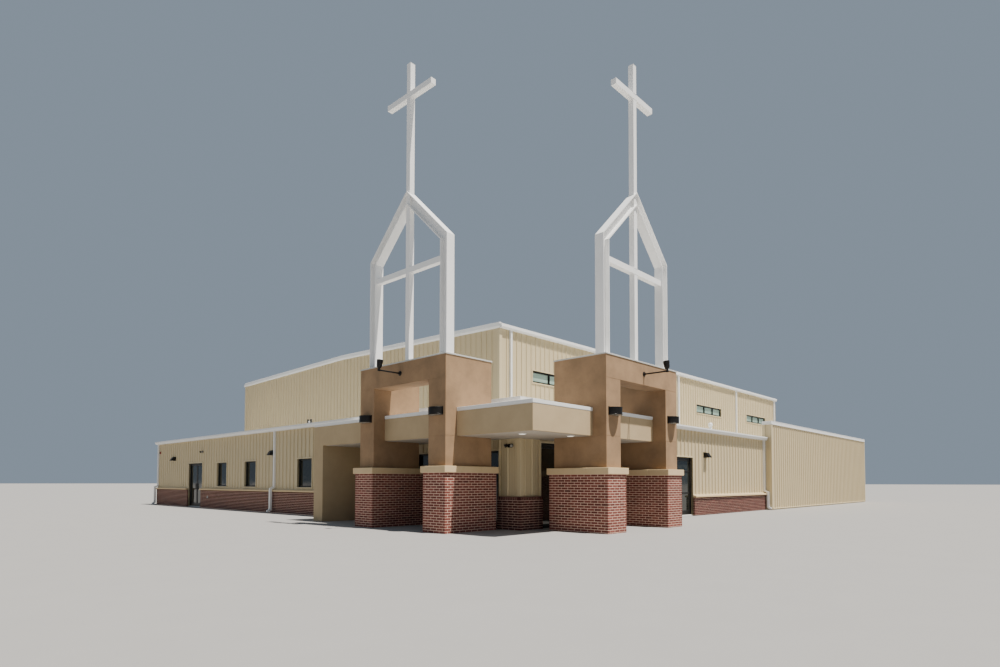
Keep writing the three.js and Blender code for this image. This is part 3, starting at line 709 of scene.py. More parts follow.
@dataclass
class Piece:
    """One named piece of the building, gathered from forms and finished as one mesh."""

    name: str
    slot: str
    body: str = "building"
    place: Matrix = field(default_factory=partial(Matrix.Identity, 4))
    parts: list[tuple[Form, Finish, float]] = field(default_factory=list)

    def add(self, form: Form, finish: Finish, matrix: Matrix | None = None, tone: float = 0.5) -> None:
        """Adds a form.

        Args:
            form: The form.
            finish: What it is made of.
            matrix: The form's place in the piece's own frame.
            tone: Its tone from dark to light, 0 to 1.
        """
        turn = self.place @ matrix if matrix else self.place
        self.parts.append((form.moved(turn), finish, tone))

    def finish(self, *replaced: str, smooth: bool = False) -> None:
        """Joins the forms into one mesh that rides on the piece's body.

        Args:
            *replaced: The CAD nodes that the piece stands for.
            smooth: Whether gentle angles are shaded round.
        """
        finishes = list(dict.fromkeys(finish for _, finish, _ in self.parts))
        faces: list[tuple[int, ...]] = []
        slots: list[int] = []
        start = 0
        for form, finish, _ in self.parts:
            faces += [tuple(i + start for i in face) for face in form.faces]
            slots += [finishes.index(finish)] * len(form.faces)
            start += len(form.points)
        points = np.concatenate([form.points for form, _, _ in self.parts]) + np.array(SITE)
        mesh = bpy.data.meshes.new(self.name)
        mesh.from_pydata(points.tolist(), [], faces)
        mesh.polygons.foreach_set("material_index", slots)
        for finish in finishes:
            mesh.materials.append(finish.material())
        counts = [len(form.points) for form, _, _ in self.parts]
        tones = mesh.attributes.new("tone", "FLOAT", "POINT")
        tones.data.foreach_set("value", np.repeat([tone for _, _, tone in self.parts], counts))
        mesh.update()
        made = bpy.data.objects.new(self.name, mesh)
        bpy.context.scene.collection.objects.link(made)
        if smooth:
            clear()
            made.select_set(True)
            bpy.context.view_layer.objects.active = made
            bpy.ops.object.shade_smooth_by_angle(angle=math.radians(35))
        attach(made, self.body)
        if replaced:
            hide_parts(*replaced)
        log.info("%s: %d faces on %s", self.name, len(faces), self.body)


def paint(finish: Finish, *nodes: str) -> None:
    """Gives CAD nodes that stay a finish.

    Args:
        finish: The finish.
        *nodes: The nodes.
    """
    for node in nodes:
        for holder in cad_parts[node].material_slots:
            holder.material = finish.material()
        log.info("%s: %s", node, finish.name)


# Walls


@dataclass(frozen=True)
class Opening:
    """A part of a wall that has no panel: a window, a door, or what stands in front of it."""

    along: Span
    up: Span


def free(low: float, high: float, taken: Sequence[Span], least: float = 0.04) -> list[Span]:
    """Finds what is left of a stretch.

    Args:
        low: Its start.
        high: Its end.
        taken: The stretches that are taken out.
        least: The shortest stretch that is kept.

    Returns:
        The stretches left.
    """
    left: list[Span] = []
    for start, end in sorted(taken):
        if start > low:
            left.append((low, min(start, high)))
        low = max(low, end)
    left.append((low, high))
    return [(a, b) for a, b in left if b - a > least]


@dataclass(frozen=True)
class Edge:
    """The foot or head of a wall's panels, as a line through places along the wall and their heights."""

    points: tuple[Point, ...]

    def level(self, along: float) -> float:
        """Returns its height at a place along the wall."""
        places, heights = zip(*self.points)
        return float(np.interp(along, places, heights))


@dataclass
class PanelWall:
    """Roll-formed wall panels: tall ribs 305 mm apart, two low ribs between them, and rows of screws.

    A rib's sizes are its width at the panel, its width at the top and how far it stands out.
    """

    plane: Plane
    span: Span
    foot: Edge
    head: Edge
    openings: Sequence[Opening] = ()
    screw_rows: Sequence[float] = ()
    pitch: float = 0.305
    margin: float = 0.08
    tall_rib: tuple[float, float, float] = (0.064, 0.026, 0.036)
    low_rib: tuple[float, float, float] = (0.036, 0.02, 0.005)
    low_clear: float = 0.04
    screw_off: float = 0.06
    screw_clear: tuple[float, float] = (0.1, 0.05)

    def rib(self, foot: float, top: float, high: float) -> Form:
        """Models one metre of a rib, upright on the wall's frame.

        Args:
            foot: Its width at the panel.
            top: Its width at the top.
            high: How far it stands out.

        Returns:
            Its form.
        """
        lip = high * 0.12
        half = ((foot / 2, 0), (top / 2 + lip, high - lip), (top / 2, high))
        return prism((*((-x, y) for x, y in half), *half[::-1]), Axis.Z, (0, 1))

    def stand(self, piece: Piece, rib: Form, middle: float, width: float) -> None:
        """Stands a rib on the wall, broken where the openings are.

        Args:
            piece: The piece that gets it.
            rib: The rib.
            middle: Its place along the wall.
            width: The width that it keeps clear of openings.
        """
        start, end = around(middle, width)
        taken = [o.up for o in self.openings if o.along[0] < end and o.along[1] > start]
        for low, high in free(self.foot.level(middle), self.head.level(middle), taken):
            tall = Matrix.Translation((middle, 0, low)) @ Matrix.Diagonal((1, 1, high - low, 1))
            piece.add(rib, PANEL, tall)

    def screwed(self, middle: float, row: float) -> bool:
        """Finds whether a row of screws has one beside a rib.

        Args:
            middle: The rib's place along the wall.
            row: The row's height.

        Returns:
            Whether the wall is panelled there.
        """
        side, up = self.screw_clear
        return self.foot.level(middle) < row < self.head.level(middle) and not any(
            o.along[0] - side < middle < o.along[1] and o.up[0] - up < row < o.up[1] + up
            for o in self.openings
        )

    def build(self, piece: Piece) -> None:
        """Adds the wall's ribs and screws.

        Args:
            piece: The piece that gets them.
        """
        start, end = self.span
        tall, low = self.rib(*self.tall_rib), self.rib(*self.low_rib)
        # A real screw's washer is 14 mm across; 22 mm is what can still show.
        screw = turned(((0.011, 0), (0.008, 0.006)), 6)
        count = int((end - start - self.margin) / self.pitch)
        first = (start + end - count * self.pitch) / 2
        for i in range(count + 1):
            middle = first + i * self.pitch
            self.stand(piece, tall, middle, self.tall_rib[0])
            if i == count:
                break
            for row in self.screw_rows:
                if self.screwed(middle, row):
                    place = (middle + self.screw_off, 0, row)
                    piece.add(aimed(screw, place, (0, 1, 0)), PANEL_TRIM)
            for step in (1 / 3, 2 / 3):
                self.stand(piece, low, middle + step * self.pitch, self.low_clear)


@dataclass
class Cladding:
    """All of the building's wall panels, with their corner, jamb, head and foot trims."""

    trim_out: float = 0.038
    trim_wide: float = 0.1
    trim_in: float = 0.04
    jamb: float = 0.045
    corner_gap: float = 0.06
    head_gap: float = 0.01
    foot_gap: float = 0.03
    cap_gap: float = 0.005
    ground: float = 0.05
    step: float = 0.001
    low_rows: tuple[float, ...] = (1.5, 2.3, 3.1)
    high_rows: tuple[float, ...] = (4.1, 4.9, 5.3, 6.2, 6.8, 7.3)

    def around_opening(self, along: Span, up: Span) -> Opening:
        """Returns an opening with its trims."""
        gap = self.jamb
        return Opening((along[0] - gap, along[1] + gap), (up[0] - gap, up[1] + gap))

    def inside(self, start: float, end: float) -> Span:
        """Returns the stretch of panels between two corners."""
        return (start + self.corner_gap, end - self.corner_gap)

    def low_walls(self) -> dict[str, PanelWall]:
        """Lays out the two low fronts over their brick, and the right block's front.

        Returns:
            The walls by name.
        """
        door = (0, DOOR_HEAD)
        canopy = (CANOPY_SOFFIT, CANOPY_TOP)
        left = [
            self.around_opening(LEFT_STORE, (0, LEFT_STORE_HEAD)),
            self.around_opening(LEFT_DOOR, door),
            Opening((0, PORTAL[0]), canopy),
            Opening((PORTAL[0] - 0.03, PORTAL[1] + 0.05), (0, CANOPY_TOP)),
            *(self.around_opening(along, WINDOW_UP) for along in LEFT_WINDOWS.values()),
        ]
        right = [
            self.around_opening(RIGHT_STORE, (0, RIGHT_STORE_HEAD)),
            self.around_opening(RIGHT_DOOR, door),
            Opening((0, TOWER_START + TOWER_WIDTH - LEG), canopy),
        ]
        made = {}
        for name, plane, front, end, store, entry, openings in (
            ("left", LEFT, LEFT_LOW, LENGTH_Y, LEFT_STORE[0], HALL_Y, left),
            ("right", RIGHT, RIGHT_LOW, BLOCK_X - self.trim_wide, RIGHT_STORE[0], HALL_X, right),
        ):
            brick, sill = ENTRY_BRICK_TOP + self.foot_gap, front.sill_top + self.foot_gap
            foot = Edge(((store, brick), (store + self.step, sill)))
            head = Edge(((entry, ENTRY_TOP), (entry + self.step, front.eave - self.head_gap)))
            made[name] = PanelWall(plane, self.inside(0, end), foot, head, openings, self.low_rows)
        head = Edge(((0, BLOCK_TOP - self.head_gap),))
        span = self.inside(BLOCK_X, LENGTH_X)
        for name, plane, foot, rows in (
            ("block_front", BLOCK_FRONT, 0.09, (0.5, *self.low_rows, 3.8)),
            ("block_back", BLOCK_BACK, RIGHT_LOW.roof(0) + self.foot_gap, ()),
        ):
            made[name] = PanelWall(plane, span, Edge(((0, foot),)), head, (), rows)
        return made

    def high_walls(self) -> dict[str, PanelWall]:
        """Lays out the hall's walls, the back and the far end.

        Returns:
            The walls by name.
        """
        windows = [self.around_opening(along, HALL_WINDOW_UP) for along in HALL_WINDOWS]
        ground, under = Edge(((0, 0.09),)), self.head_gap
        eave = HALL_EAVE - under
        gable = ((HALL_Y, eave), (HALL_MIDDLE_Y, hall_under(HALL_MIDDLE_Y) - under), (LENGTH_Y, eave))
        over_left, over_right = (
            Edge(((0, level + 0.02),)) for level in (LEFT_LOW.roof(HALL_X), RIGHT_LOW.roof(HALL_Y))
        )
        wing = ((0, LEFT_LOW.eave - under), (HALL_X, LEFT_LOW.under(HALL_X) - under))
        back = Edge((*wing, (HALL_X + self.step, eave)))
        block = ((0, BLOCK_TOP - under), (self.step, RIGHT_LOW.eave - under))
        end = Edge((*block, (HALL_Y - self.step, RIGHT_LOW.under(HALL_Y) - under), *gable))
        level = Edge(((0, eave),))
        high, rows = self.high_rows, (0.5, *self.low_rows, *self.high_rows)
        return {
            name: PanelWall(plane, self.inside(*corners), foot, head, openings, screws)
            for name, plane, corners, foot, head, openings, screws in (
                ("hall_left", HALL_LEFT, (HALL_Y, LENGTH_Y), over_left, Edge(gable), (), high),
                ("hall_front", HALL_FRONT, (HALL_X, LENGTH_X), over_right, level, windows, high),
                ("back", BACK, (0, LENGTH_X), ground, back, windows, rows),
                ("end", END, (BLOCK_Y, LENGTH_Y), ground, end, (), rows),
            )
        }

    def build(self) -> None:
        """Models the ribs wall by wall, then the trims."""
        for name, wall in {**self.low_walls(), **self.high_walls()}.items():
            piece = Piece(name + "_wall_panels", "panel", place=wall.plane.matrix)
            wall.build(piece)
            piece.finish()
        trims = Piece("wall_trims", "panel")
        self.corners(trims)
        self.surrounds(trims)
        self.feet(trims)
        trims.finish()
        low = [f"{side}_wall_{part}" for side in ("left", "right") for part in ("near", "over_door", "far")]
        high = ("hall_wall_front", "hall_wall_left", "back_wall", "end_wall")
        paint(PANEL, *low, "right_block_wall", *high)
        paint(CONCRETE, "floor_slab")

    def corners(self, trims: Piece) -> None:
        """Adds the angle trims over the outer corners.

        Args:
            trims: The piece that gets them.
        """
        over_right = RIGHT_LOW.roof(0) + 0.05
        cap, eave = BLOCK_TOP - self.cap_gap, HALL_EAVE - self.head_gap
        t, w = self.trim_out, self.trim_wide
        # Each corner's place in plan, the directions in x and y that its walls run from it, and its limits
        for (x, y), (a, b), up in (
            ((0, 0), (1, 1), (ENTRY_BRICK_TOP, CANOPY_SOFFIT - 0.01)),
            ((BLOCK_X, BLOCK_Y), (1, 1), (self.ground, cap)),
            ((BLOCK_X, 0), (1, -1), (over_right, cap)),
            ((LENGTH_X, 0), (-1, -1), (over_right, cap)),
            ((LENGTH_X, BLOCK_Y), (-1, 1), (self.ground, cap)),
            ((HALL_X, HALL_Y), (1, 1), (ENTRY_TOP + ENTRY_ROOF_THICK, eave)),
            ((LENGTH_X, HALL_Y), (-1, 1), (RIGHT_LOW.roof(HALL_Y), eave)),
            ((LENGTH_X, LENGTH_Y), (-1, -1), (self.ground, eave)),
            ((0, LENGTH_Y), (1, -1), (LEFT_LOW.sill_top, LEFT_LOW.eave - self.head_gap)),
            ((HALL_X, LENGTH_Y), (1, -1), (LEFT_LOW.roof(HALL_X), eave)),
        ):
            x_leg = ((x - a * t, y - b * t), (x + a * w, y - b * t), (x + a * w, y))
            outline = (*x_leg, (x, y), (x, y + b * w), (x - a * t, y + b * w))
            trims.add(prism(outline, Axis.Z, up, EASED), PANEL_TRIM)

    def surrounds(self, trims: Piece) -> None:
        """Adds jamb and head trims round every window and door, and a trim below each window.

        Args:
            trims: The piece that gets them.
        """
        w, out = self.jamb, (-self.trim_in, self.trim_out)
        left_foot, right_foot = (min(front.sill_top, ENTRY_BRICK_TOP) for front in (LEFT_LOW, RIGHT_LOW))
        for plane, along, up, sill in (
            (LEFT, LEFT_DOOR, (self.ground, DOOR_HEAD), False),
            (RIGHT, RIGHT_DOOR, (self.ground, DOOR_HEAD), False),
            (LEFT, LEFT_STORE, (left_foot, LEFT_STORE_HEAD), False),
            (RIGHT, RIGHT_STORE, (right_foot, RIGHT_STORE_HEAD), False),
            *((LEFT, along, WINDOW_UP, True) for along in LEFT_WINDOWS.values()),
            *((plane, along, HALL_WINDOW_UP, True) for plane in (HALL_FRONT, BACK) for along in HALL_WINDOWS),
        ):
            (a0, a1), (z0, z1) = along, up
            tall = (z0 - w if sill else z0, z1 + w)
            bars = [((a0 - w, a0), tall), ((a1, a1 + w), tall), (along, (z1, z1 + w))]
            if sill:
                bars.append((along, (z0 - w, z0)))
            for bar, high in bars:
                trims.add(block(bar, out, high, EASED), PANEL_TRIM, plane.matrix)

    def feet(self, trims: Piece) -> None:
        """Adds the flashing along the foot of every panelled wall.

        Args:
            trims: The piece that gets it.
        """
        gap, ground = 0.05, self.ground + 0.005
        left = (LEFT_STORE[1] + gap, *PORTAL, LEFT_DOOR[0] - gap, LEFT_DOOR[1] + gap, LENGTH_Y)
        right = (RIGHT_STORE[1] + gap, RIGHT_DOOR[0] - gap, RIGHT_DOOR[1] + gap, BLOCK_X)
        for plane, stops, foot, finish in (
            (LEFT, left, LEFT_LOW.sill_top, PANEL_TRIM),
            (RIGHT, right, RIGHT_LOW.sill_top, PANEL_TRIM),
            (BLOCK_FRONT, (BLOCK_X, LENGTH_X), ground, PANEL_TRIM),
            (BLOCK_BACK, (BLOCK_X, LENGTH_X), RIGHT_LOW.roof(0), WHITE_TRIM),
            (BACK, (0, LENGTH_X), ground, PANEL_TRIM),
            (END, (BLOCK_Y, LENGTH_Y), ground, PANEL_TRIM),
            (HALL_LEFT, (HALL_Y, LENGTH_Y), LEFT_LOW.roof(HALL_X), WHITE_TRIM),
            (HALL_FRONT, (HALL_X, LENGTH_X), RIGHT_LOW.roof(HALL_Y), WHITE_TRIM),
        ):
            out = self.trim_out
            profile = ((0, foot), (out, foot), (out, foot + 0.018), (0, foot + 0.04))
            for run in zip(stops[::2], stops[1::2]):
                trims.add(prism(profile, Axis.X, run), finish, plane.matrix)


# Roofs and gutters


@dataclass
class Roofs:
    """Ribbed steel roofs with white eave, rake and ridge trims, and the right block's cap."""

    pitch: float = 0.61
    rib_high: float = 0.045
    rib_wide: float = 0.05
    rib_end: float = 0.2
    inset: float = 0.04
    fascia: float = 0.02
    rake_over: float = 0.058
    ridge_half: float = 0.2
    cap_sheet: float = 3.05

    def ribs(self, piece: Piece, across: Span, start: Point, end: Point) -> None:
        """Lays standing ribs down one slope.

        Args:
            piece: The piece that gets them.
            across: The stretch that the ribs are spread over.
            start: Where a rib starts along its run, and its height there.
            end: Where a rib ends, and its height there.
        """
        foot, top = self.rib_wide / 2, self.rib_wide / 4
        outline = ((-foot, 0), (-top, self.rib_high), (top, self.rib_high), (foot, 0))
        rib = prism(outline, Axis.Y, (0, 1))
        count = int((across[1] - across[0]) / self.pitch)
        first = (across[0] + across[1] - count * self.pitch) / 2
        for i in range(count + 1):
            lay = Matrix.Identity(4)
            lay[1][1] = end[0] - start[0]
            lay[2][1] = end[1] - start[1]
            lay.translation = (first + i * self.pitch, *start)
            piece.add(rib, ROOF_PANEL, lay)

    def rake(
        self, piece: Piece, line: Sequence[Point], thick: float, edge: float, way: int, fold: float = 0.03
    ) -> None:
        """Adds a white trim along a sloping edge: a fascia with a folded foot, and a lap over the roof.

        Args:
            piece: The piece that gets it.
            line: The roof's underside along the edge, in (y, z).
            thick: The roof's thickness.
            edge: Where the fascia's face stands in x.
            way: The direction from there to the roof.
            fold: How far the foot is folded back.
        """
        top, under = thick + self.rake_over, thick - 0.002
        back, lap, foot = fold + 0.015, 0.12, -0.004
        face = ((back, foot), (fold, foot), (0, 0.075), (0, top))
        profile = (*face, (lap, top), (lap, under), (back, under))
        for (start, z0), (end, z1) in pairwise(line):
            lay = Matrix.Diagonal((way, 1, 1, 1))
            lay[2][1] = (z1 - z0) / (end - start)
            lay.translation = (edge, start, z0)
            piece.add(prism(profile, Axis.Y, (0, end - start), BEND), WHITE_TRIM, lay)

    def apron(self, piece: Piece, front: LowFront, meets: float, span: Span) -> None:
        """Adds the white flashing where a low roof meets the hall's wall.

        Args:
            piece: The piece that gets it.
            front: The low front that the roof belongs to.
            meets: How far behind the front the wall stands.
            span: Where the flashing starts and ends along it.
        """
        level, wall = front.roof(meets), meets - 0.001
        profile = ((meets - 0.14, level - 0.004), (wall, level + 0.09), (wall, level - 0.004))
        piece.add(prism(profile, Axis.X, span), WHITE_TRIM)

    def slab(self, piece: Piece, below: Sequence[Point], thick: float, span: Span) -> None:
        """Adds a roof's slab along X.

        Args:
            piece: The piece that gets it.
            below: The corners of its underside, in (y, z).
            thick: Its thickness.
            span: Where it starts and ends.
        """
        above = [(y, z + thick) for y, z in reversed(below)]
        piece.add(prism([*below, *above], Axis.X, span), ROOF_PANEL)

    def hall(self) -> None:
        """Models the hall's gable roof, in place of the plain one."""
        piece = Piece("hall_roof_dressed", "roof_panel")
        low, high = HALL_Y - ROOF_LIP, LENGTH_Y + ROOF_LIP
        x0, x1 = HALL_X - ROOF_LIP, LENGTH_X + ROOF_LIP
        middle, thick = HALL_MIDDLE_Y, HALL_ROOF_THICK
        below = [(y, hall_under(y)) for y in (low + self.inset, middle, high - self.inset)]
        self.slab(piece, below, thick, (x0 + self.inset, x1 - self.inset))
        for run in ((low + 0.02, middle - 0.1), (middle + 0.1, high - 0.02)):
            start, end = ((y, hall_under(y) + thick) for y in run)
            self.ribs(piece, (x0 + self.rib_end, x1 - self.rib_end), start, end)
        line = [(y, hall_under(y)) for y in (low, middle, high)]
        for edge, way in ((x0, 1), (x1, -1)):
            self.rake(piece, line, thick, edge, way)
        crown, half = hall_under(middle) + thick, self.ridge_half
        over = ((middle - half, crown + 0.03), (middle, crown + 0.055), (middle + half, crown + 0.03))
        cap = (*over, (middle + half, crown + 0.002), (middle - half, crown + 0.002))
        piece.add(prism(cap, Axis.X, (x0 + 0.01, x1 - 0.01), BEND), WHITE_TRIM)
        piece.finish("hall_roof")

    def block(self) -> None:
        """Models the right block's low roof behind its raised front, in place of the plain one."""
        piece = Piece("block_roof_dressed", "roof_panel")
        gap, x1 = 0.0005, LENGTH_X + ROOF_LIP
        below = [(y, RIGHT_LOW.under(y)) for y in (gap, HALL_Y - gap)]
        self.slab(piece, below, WING_ROOF_THICK, (BLOCK_X + gap, x1 - self.inset))
        start, end = ((y, RIGHT_LOW.roof(y)) for y in (0.04, HALL_Y - gap))
        # The second lot is one more rib, which covers the seam with the wing's roof.
        for across in ((BLOCK_X + self.rib_end, x1 - self.rib_end), (BLOCK_X, BLOCK_X)):
            self.ribs(piece, across, start, end)
        self.rake(piece, below, WING_ROOF_THICK, x1, -1)
        self.apron(piece, RIGHT_LOW, HALL_Y, (BLOCK_X, LENGTH_X))
        piece.finish("right_block_roof")

    def block_cap(self) -> None:
        """Models the cap on the right block's raised front: a folded sheet with hems and splice covers."""
        piece = Piece("block_cap_dressed", "white_trim")
        x, y = (BLOCK_X - ROOF_LIP, LENGTH_X + ROOF_LIP), (BLOCK_Y - ROOF_LIP, ROOF_LIP)
        low, high, hem = BLOCK_TOP, BLOCK_CAP_TOP, 0.007
        inner = [(start + hem, end - hem) for start, end in (x, y)]
        piece.add(block(*inner, (low + 0.001, high - 0.004), 0.005, 2), WHITE_TRIM)
        piece.add(block(x, y, (low, low + 0.022), BEND), WHITE_TRIM)
        piece.add(block(x, (y[0], y[0] + 0.03), (high - 0.024, high), EASED), WHITE_TRIM)
        count = round((x[1] - x[0]) / self.cap_sheet)
        across = (y[0] + 0.003, y[1] - 0.003)
        for i in range(1, count):
            middle = x[0] + i * (x[1] - x[0]) / count
            piece.add(block(around(middle, 0.1), across, (low + 0.002, high), ARRIS), WHITE_TRIM)
        piece.finish("right_block_cap")

    def wings(self) -> None:
        """Lays ribs and flashings on the two wing roofs, whose solids stay, and a far trim on the left one.
        """
        gap = 0.001
        # The left wing is laid as if it stood along X, and its place mirrors it.
        left = Piece("left_wing_roof_panels", "roof_panel", place=SWAP)
        start, end = ((x, LEFT_LOW.roof(x)) for x in (0.01, HALL_X - gap))
        self.ribs(left, (HALL_Y + self.rib_end, LENGTH_Y - 0.1), start, end)
        far = LENGTH_Y + ROOF_LIP + self.fascia
        line = [(x, LEFT_LOW.under(x)) for x in (-WING_LIP, HALL_X)]
        self.rake(left, line, WING_ROOF_THICK, far, -1, 0.019)
        self.apron(left, LEFT_LOW, HALL_X, (HALL_Y + gap, LENGTH_Y))
        left.finish()
        right = Piece("right_wing_roof_panels", "roof_panel")
        start, end = ((y, RIGHT_LOW.roof(y)) for y in (0.01, HALL_Y - gap))
        self.ribs(right, (HALL_X + self.rib_end, BLOCK_X - self.rib_end), start, end)
        self.apron(right, RIGHT_LOW, HALL_Y, (HALL_X + gap, BLOCK_X))
        right.finish()
        paint(ROOF_PANEL, "left_wing_roof", "right_wing_roof")

    def entry(self) -> None:
        """Lays the membrane and the edge trims on the flat entry roof, whose solid stays."""
        piece = Piece("entry_roof_cap", "roof_panel")
        top = ENTRY_TOP + ENTRY_ROOF_THICK
        out, edge, lip = -ROOF_LIP - 0.012, 0.055, -ROOF_LIP - 0.0002
        flat = ((edge, HALL_X - 0.001), (edge, HALL_Y - 0.001))
        piece.add(block(*flat, (top - 0.002, top + 0.004)), MEMBRANE)
        for inner, up, bevel in (
            (edge, (top - 0.001, top + 0.018), EASED),
            (lip, (top - 0.07, top + 0.01), ARRIS),
        ):
            for x, y in (((out, HALL_X), (out, inner)), ((out, inner), (inner, HALL_Y))):
                piece.add(block(x, y, up, bevel), WHITE_TRIM)
        piece.finish()
        paint(WHITE_TRIM, "entry_roof")

    def build(self) -> None:
        """Models every roof."""
        self.hall()
        self.block()
        self.block_cap()
        self.wings()
        self.entry()


@dataclass
class Gutters:
    """White box gutters with cross straps, and square downspouts with wall straps."""

    sheet: float = 0.004
    lip: float = 0.02
    strap_every: float = 0.9
    strap_wide: float = 0.03
    spout_edge: float = 0.007
    low_up: Span = (-0.01, 0.14)
    low_fold: Point = (0.05, 0.095)
    high_up: Span = (-0.01, 0.16)
    high_fold: Point = (0.03, 0.055)

    def trough(self, piece: Piece, along: Span, out: Span, up: Span, fold: Point) -> None:
        """Adds an open gutter with end caps and straps, in a wall's frame.

        Args:
            piece: The piece that gets it.
            along: Where it starts and ends along the wall.
            out: Its back and its face.
            up: Its foot and its lip.
            fold: How far and how high the foot of its face is folded back.
        """
        (o0, o1), (z0, z1), t, hair = out, up, self.sheet, HAIR
        back, high = fold[0], z0 + fold[1]
        outside = ((o0, z0), (o1 - back, z0), (o1, high), (o1, z1), (o1 - self.lip, z1))
        inside = ((o1 - self.lip, z1 - t), (o1 - t, z1 - t), (o1 - t, high), (o1 - back - t / 2, z0 + t))
        profile = (*outside, *inside, (o0 + t, z0 + t), (o0 + t, z1), (o0, z1))
        piece.add(prism(profile, Axis.X, along), WHITE_TRIM)
        for end in ((along[0], along[0] + t), (along[1] - t, along[1])):
            foot = ((o0 + hair, z0 + hair), (o1 - back, z0 + hair), (o1 - hair, high))
            cap = (*foot, (o1 - hair, z1 - hair), (o0 + hair, z1 - hair))
            piece.add(prism(cap, Axis.X, end, HAIR), WHITE_TRIM)
        count = int((along[1] - along[0]) / self.strap_every)
        for i in range(1, count):
            middle = along[0] + i * (along[1] - along[0]) / count
            strap = block(around(middle, self.strap_wide), (o0, o1 - t), (z1 - 0.005, z1 + hair), HAIR)
            piece.add(strap, WHITE_TRIM)
        # A thin drip line runs along the gutter's face, over the fold.
        piece.add(block(along, (o1 - hair, o1 + 0.003), (high + 0.003, high + 0.011), HAIR), WHITE_TRIM)

    def spout(self, piece: Piece, middle: float, outline: Sequence[Point], straps: Sequence[Point]) -> None:
        """Adds a downspout and its straps.

        Args:
            piece: The piece that gets them.
            middle: Its place along the wall.
            outline: Its side view, out of the wall and up.
            straps: How far from the wall and how high each strap is.
        """
        piece.add(prism(outline, Axis.X, around(middle, DOWNSPOUT), self.spout_edge, 2), WHITE_TRIM)
        wide = around(middle, DOWNSPOUT + 0.012)
        for out, level in straps:
            band = block(wide, (out, out + DOWNSPOUT + 0.005), around(level, self.strap_wide), ARRIS)
            piece.add(band, WHITE_TRIM)

    def low_spout(self, piece: Piece, middle: float, front: LowFront) -> None:
        """Adds a downspout that steps out over the sill and turns out at its foot.

        Args:
            piece: The piece that gets it.
            middle: Its place along the wall.
            front: The low front that it stands at.
        """
        d, step = DOWNSPOUT, SILL_OUT + 0.008
        top, over = front.eave - 0.002, front.sill_top + 0.01
        back = ((0.002, top), (0.002, over + 0.075), (step, over + 0.005), (step, 0.12))
        shoe = ((step + 0.1, 0.04), (step + 0.2, 0.04), (step + 0.2, 0.1), (step + d, 0.17))
        outline = (*back, *shoe, (step + d, over + 0.045), (d, over + 0.12), (d, top))
        straps = (*((0.0, level) for level in (3.1, 2.2, 1.3)), (step, 0.5))
        self.spout(piece, middle, outline, straps)

    def high_spout(self, piece: Piece, middle: float, foot: float) -> None:
        """Adds a straight downspout of the hall, turned out at its foot.

        Args:
            piece: The piece that gets it.
            middle: Its place along the wall.
            foot: Its foot.
        """
        d, top = DOWNSPOUT, HALL_EAVE - 0.002
        back = ((0.002, top), (0.002, foot + 0.12), (0.035, foot + 0.03), (0.035, foot))
        shoe = ((0.1, foot), (0.16, foot), (0.16, foot + 0.06), (d, foot + 0.14))
        levels = (foot + 0.4, (foot + HALL_EAVE) / 2, HALL_EAVE - 0.4)
        self.spout(piece, middle, (*back, *shoe, (d, top)), [(0.0, level) for level in levels])

    def build(self) -> None:
        """Models the four gutters."""
        low, high = (
            (lip + 0.001, lip + deep - 0.003)
            for lip, deep in ((WING_LIP, LOW_GUTTER_DEEP), (ROOF_LIP, GUTTER_DEEP))
        )
        for name, plane, front, along, spouts in (
            ("left_gutter", LEFT, LEFT_LOW, (HALL_Y + 0.001, LENGTH_Y + ROOF_LIP), (13.9, 27.98)),
            ("right_gutter", RIGHT, RIGHT_LOW, (HALL_X + 0.001, BLOCK_X - 0.001), (17.84,)),
        ):
            piece = Piece(name + "_dressed", "white_trim", place=plane.matrix)
            up = (front.eave + self.low_up[0], front.eave + self.low_up[1])
            self.trough(piece, along, low, up, self.low_fold)
            for middle in spouts:
                self.low_spout(piece, middle, front)
            piece.finish(name)
        along = (HALL_X - ROOF_LIP, LENGTH_X + ROOF_LIP)
        up = (HALL_EAVE + self.high_up[0], HALL_EAVE + self.high_up[1])
        for name, plane, foot in (
            ("hall_gutter_front", HALL_FRONT, RIGHT_LOW.roof(HALL_Y) + 0.06),
            ("hall_gutter_back", BACK, 0.06),
        ):
            piece = Piece(name + "_dressed", "white_trim", place=plane.matrix)
            self.trough(piece, along, high, up, self.high_fold)
            for middle in (5.7, 12.7, 20.03, 28.2, 35.25):
                self.high_spout(piece, middle, foot)
            piece.finish(name)


# Brick


